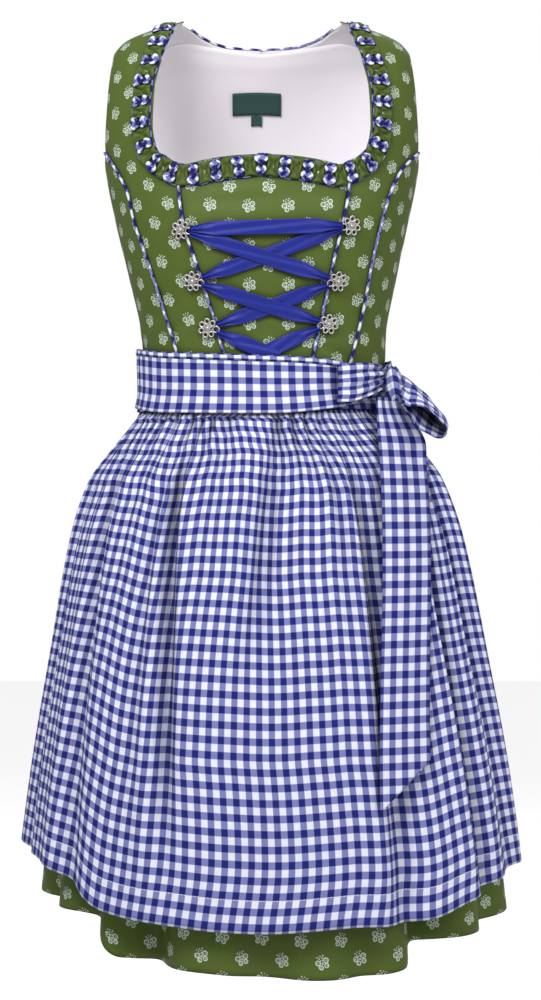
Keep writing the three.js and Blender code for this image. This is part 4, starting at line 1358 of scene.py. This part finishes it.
def catmull(values, at):
    padded = np.concatenate([[2 * values[0] - values[1]], values, [2 * values[-1] - values[-2]]])
    i = np.clip(at.astype(int), 0, len(values) - 2)
    t = at - i
    p0, p1, p2, p3 = (padded[i + k] for k in range(4))
    square = 2 * p0 - 5 * p1 + 4 * p2 - p3
    cube = 3 * p1 - p0 - 3 * p2 + p3
    return 0.5 * (2 * p1 + (p2 - p0) * t + square * t**2 + cube * t**3)


def run_uv(grid, width):
    middle = grid[grid.shape[0] // 2]
    run = run_along(middle)
    share = np.linspace(0, 1, grid.shape[0])[:, None]
    return together(-share * width * MM, run[None, :] * MM)


def build_bow():
    mats = materials()
    check = mats["woven_check"]
    # Inner loop: flattened over the tie, folded lengthwise.
    path = spline(INNER_LOOP, 110)
    row = np.linspace(0, 1, 44)[:, None]
    across = path[None, :, 0] + 0 * row
    lift = path[None, :, 1] + 0 * row
    near_knot = np.clip((across - 84) / 30, 0, 1)
    height = (-385 + 2 * np.sin((across - 76) / 13)) * (1 - row) + (-424 + 15 * near_knot**1.4) * row
    swell = 2.4 * np.sin(math.pi * row) ** 0.7
    pleat = 2.3 * np.sin(row * 19 + 1.6 * np.sin(across / 15)) * (0.35 + 0.65 * near_knot)
    angle = angle_across(across, height)
    points = body_point(angle, height, np.maximum(lift + swell + pleat, 8.8))
    obj = cloth("bow_inner_loop", points, run_uv(points, 60), BOW_CLOTH, check)
    finish_piece(obj, "blue_check_cotton", "bow_loop_inner")

    # Outer loop: stands off the hip. Its mouth is open to the front, and its back edge is nearly shut.
    mouth = spline(OUTER_LOOP_MOUTH, 160)
    back = spline(OUTER_LOOP_BACK, 160)
    row = np.linspace(0, 1, 44)[:, None]
    along = np.linspace(0, 1, 160)[None, :]
    pulled = np.exp(-np.minimum(along, 1 - along) * 8)
    crumple = np.sin(row * 17 + 9 * along) * pulled + 0.35 * np.sin(row * 7 + along * 30)
    x = mouth[None, :, 0] * (1 - row) + back[None, :, 0] * row + 1.2 * crumple
    z = mouth[None, :, 1] * (1 - row) + back[None, :, 1] * row + 1.2 * crumple
    y = (-98 + 50 * row) * (1 - 0.5 * pulled) - 0.5 * 70 * pulled - 1.5 * crumple
    points = together(x, y, z)
    obj = cloth("bow_outer_loop", points, run_uv(points, 54), BOW_CLOTH, check)
    finish_piece(obj, "blue_check_cotton", "bow_loop_outer")

    # Knot: the tie wrapped once round itself.
    turn = np.linspace(0, 2 * math.pi, 49)[:-1][None, :]
    row = np.linspace(0, 1, 26)[:, None]
    bulge = np.sin(math.pi * (0.06 + 0.88 * row)) ** 0.45
    crease = 1 + 0.06 * np.sin(5 * turn + 3 * row) + 0.05 * np.sin(9 * turn - 2 * row)
    x = 140 + 10.5 * bulge * crease * np.cos(turn) + 5 * (row - 0.4)
    y = -68 + 11 * bulge * crease * np.sin(turn)
    z = -386 - 36 * row + 2.0 * np.sin(3 * turn)
    points = together(x, y, z)
    # Columns run to the right as seen from outside, so the turn goes anticlockwise from above.
    obj = cloth("bow_tied_knot", points, run_uv(points, 34), BOW_CLOTH, check, ring=True)
    finish_piece(obj, "blue_check_cotton", "bow_knot")

    # Tail: from the knot down over the apron to a slanted end.
    row = np.linspace(0, 1, 150)[:, None]
    share = np.linspace(0, 1, 26)[None, :]
    end = TAIL_END + TAIL_SLANT * share
    height = TAIL_TOP * (1 - row) + end * row
    opened = eased(np.clip((TAIL_TOP - height) / 52, 0, 1))
    across = 121 + 3 * np.sin(row * 5) + (30 + 22.5 * opened) * share
    angle = angle_across(across, height)
    on_apron = body_point(angle, height, 10.0 + 6 * np.exp(-row * 3))[..., 1]
    hanging = -66 - 16 * (1 - share) + 0 * row
    blend = 6.0
    depth = -blend * np.log(np.exp(-on_apron / blend) + np.exp(-hanging / blend))
    depth = np.where(np.abs(angle) > 1.5, hanging, depth)
    ripple = 2.4 * (1 - 0.6 * row) * np.sin(share * 7 + 2.2 * np.sin(row * 4))
    ripple = ripple + 3 * np.exp(-row * 18) * np.sin(share * 14)
    points = together(across, depth - np.abs(ripple), height)
    uv = together(share * 53 * MM, row * (end - TAIL_TOP) * MM)
    obj = cloth("bow_hanging_tail", points, uv, BOW_CLOTH, check)
    finish_piece(obj, "blue_check_cotton", "bow_tail")


# ---- Stage ----
FLOOR_LEVEL = -1.36
FLOOR_SIZE = 14
FLOOR_GLOW = 0.58
AMBIENT = 0.38
LOOK_AT = (0, 0, -0.2)
# Lamps: name, place, size, power.
LAMPS = (
    ("key", (-0.55, -1.3, 0.6), 0.7, 20),
    ("fill", (1.5, -1.7, 0.5), 1.2, 18),
    ("rim", (0.4, 2.4, 1.2), 1.8, 16),
)
CAMERA_PLACE = (0.00935, -2.2, -0.527)
LENS = 72


def build_stage():
    bpy.ops.object.select_all(action="DESELECT")
    bpy.ops.mesh.primitive_plane_add(size=1, location=(0, 0, 0))
    floor = bpy.context.object
    floor.name = "pale_floor"
    spread = Matrix.Diagonal((FLOOR_SIZE, FLOOR_SIZE, 1, 1))
    floor.data.transform(Matrix.Translation((0, 0, FLOOR_LEVEL)) @ spread)
    material, nodes, links, bsdf = shader("floor_white", (0.85, 0.85, 0.85), 0.9, Emission_Color=(1, 1, 1, 1))
    # The floor looks as bright as the backdrop but throws no extra light up at the dress.
    seen = nodes.new("ShaderNodeLightPath").outputs["Is Camera Ray"]
    glow = nodes.new("ShaderNodeMath")
    glow.operation = "MULTIPLY"
    glow.inputs[1].default_value = FLOOR_GLOW
    links.new(seen, glow.inputs[0])
    links.new(glow.outputs[0], bsdf.inputs["Emission Strength"])
    floor.data.materials.append(material)
    world = bpy.data.worlds.new("studio")
    bpy.context.scene.world = world
    world.use_nodes = True
    tree = world.node_tree
    light_path = tree.nodes.new("ShaderNodeLightPath")
    strength = tree.nodes.new("ShaderNodeMapRange")
    strength.inputs["To Min"].default_value = AMBIENT
    strength.inputs["To Max"].default_value = 1.0
    tree.links.new(light_path.outputs["Is Camera Ray"], strength.inputs["Value"])
    tree.nodes["Background"].inputs["Color"].default_value = (1.0, 1.0, 1.0, 1)
    tree.links.new(strength.outputs["Result"], tree.nodes["Background"].inputs["Strength"])
    for name, place, size, power in LAMPS:
        light = bpy.data.lights.new(name, "AREA")
        light.size = size
        light.energy = power
        lamp = bpy.data.objects.new(name, light)
        lamp.location = place
        lamp.rotation_euler = (Vector(LOOK_AT) - Vector(place)).to_track_quat("-Z", "Y").to_euler()
        bpy.context.scene.collection.objects.link(lamp)
    lens = bpy.data.cameras.new("front_view")
    lens.lens = LENS
    camera = bpy.data.objects.new("front_view", lens)
    camera.location = CAMERA_PLACE
    camera.rotation_euler = (math.pi / 2, 0, 0)
    bpy.context.scene.collection.objects.link(camera)
    bpy.context.scene.camera = camera
    bpy.context.scene.view_settings.view_transform = "Standard"


# ---- Operators ----
def build_bodice():
    build_front_centre()
    for side, label in ((-1, "left"), (1, "right")):
        build_front_side(side, label)
        build_back_side(side, label)


def build_hooks():
    for label, (across, height) in HOOKS.items():
        build_hook(label, across, height)


def build_lacing():
    for lace in LACES:
        build_lace(*lace)


def operator(idname, label, doc, build):
    """An operator that runs one builder and fails if the builder does."""

    def execute(self, context):
        build()
        return {"FINISHED"}

    name = "DIRNDL_OT_" + idname
    return type(name, (bpy.types.Operator,), {
        "bl_idname": "dirndl." + idname, "bl_label": label, "__doc__": doc, "execute": execute,
        "bl_options": {"REGISTER", "UNDO"},
    })


OPERATORS = (
    operator("stage", "Stage", "Floor, lights and camera", build_stage),
    operator("bodice", "Bodice", "The seven panels of the bodice", build_bodice),
    operator("lining", "Lining", "Back lining with its bare label and tab", build_lining),
    operator("piping", "Piping", "Check piping on the front seams and the back neck", build_all_piping),
    operator("ruche", "Ruche", "The pinched ruche round the neckline", build_ruche),
    operator("hooks", "Hooks", "The six silver rosettes", build_hooks),
    operator("lacing", "Lacing", "The satin ribbon's stretches", build_lacing),
    operator("skirt", "Skirt", "The two gathered panels of the skirt", build_skirt),
    operator("apron", "Apron", "The apron's gathered panel", build_apron),
    operator("bands", "Bands", "The apron's waistband and the tie round the waist", build_bands),
    operator("bow", "Bow", "Knot, loops and tail of the bow", build_bow),
)


class DIRNDL_PT_panel(bpy.types.Panel):
    """Lists the dress's pieces and finishes"""

    bl_idname = "DIRNDL_PT_panel"
    bl_label = "Dirndl dress"
    bl_space_type = "VIEW_3D"
    bl_region_type = "UI"
    bl_category = "Dirndl"

    def draw(self, context):
        for name in DirndlFinish.__annotations__:
            self.layout.prop(context.scene.dirndl_finish, name)
        for item in OPERATORS:
            self.layout.operator(item.bl_idname)


CLASSES = (DirndlFinish, *OPERATORS, DIRNDL_PT_panel)


def register():
    for item in CLASSES:
        bpy.utils.register_class(item)
    bpy.types.Scene.dirndl_finish = bpy.props.PointerProperty(type=DirndlFinish)


def unregister():
    del bpy.types.Scene.dirndl_finish
    for item in reversed(CLASSES):
        bpy.utils.unregister_class(item)


def main():
    register()
    for item in OPERATORS:
        group, name = item.bl_idname.split(".")
        getattr(getattr(bpy.ops, group), name)()


if __name__ == "__main__":
    main()
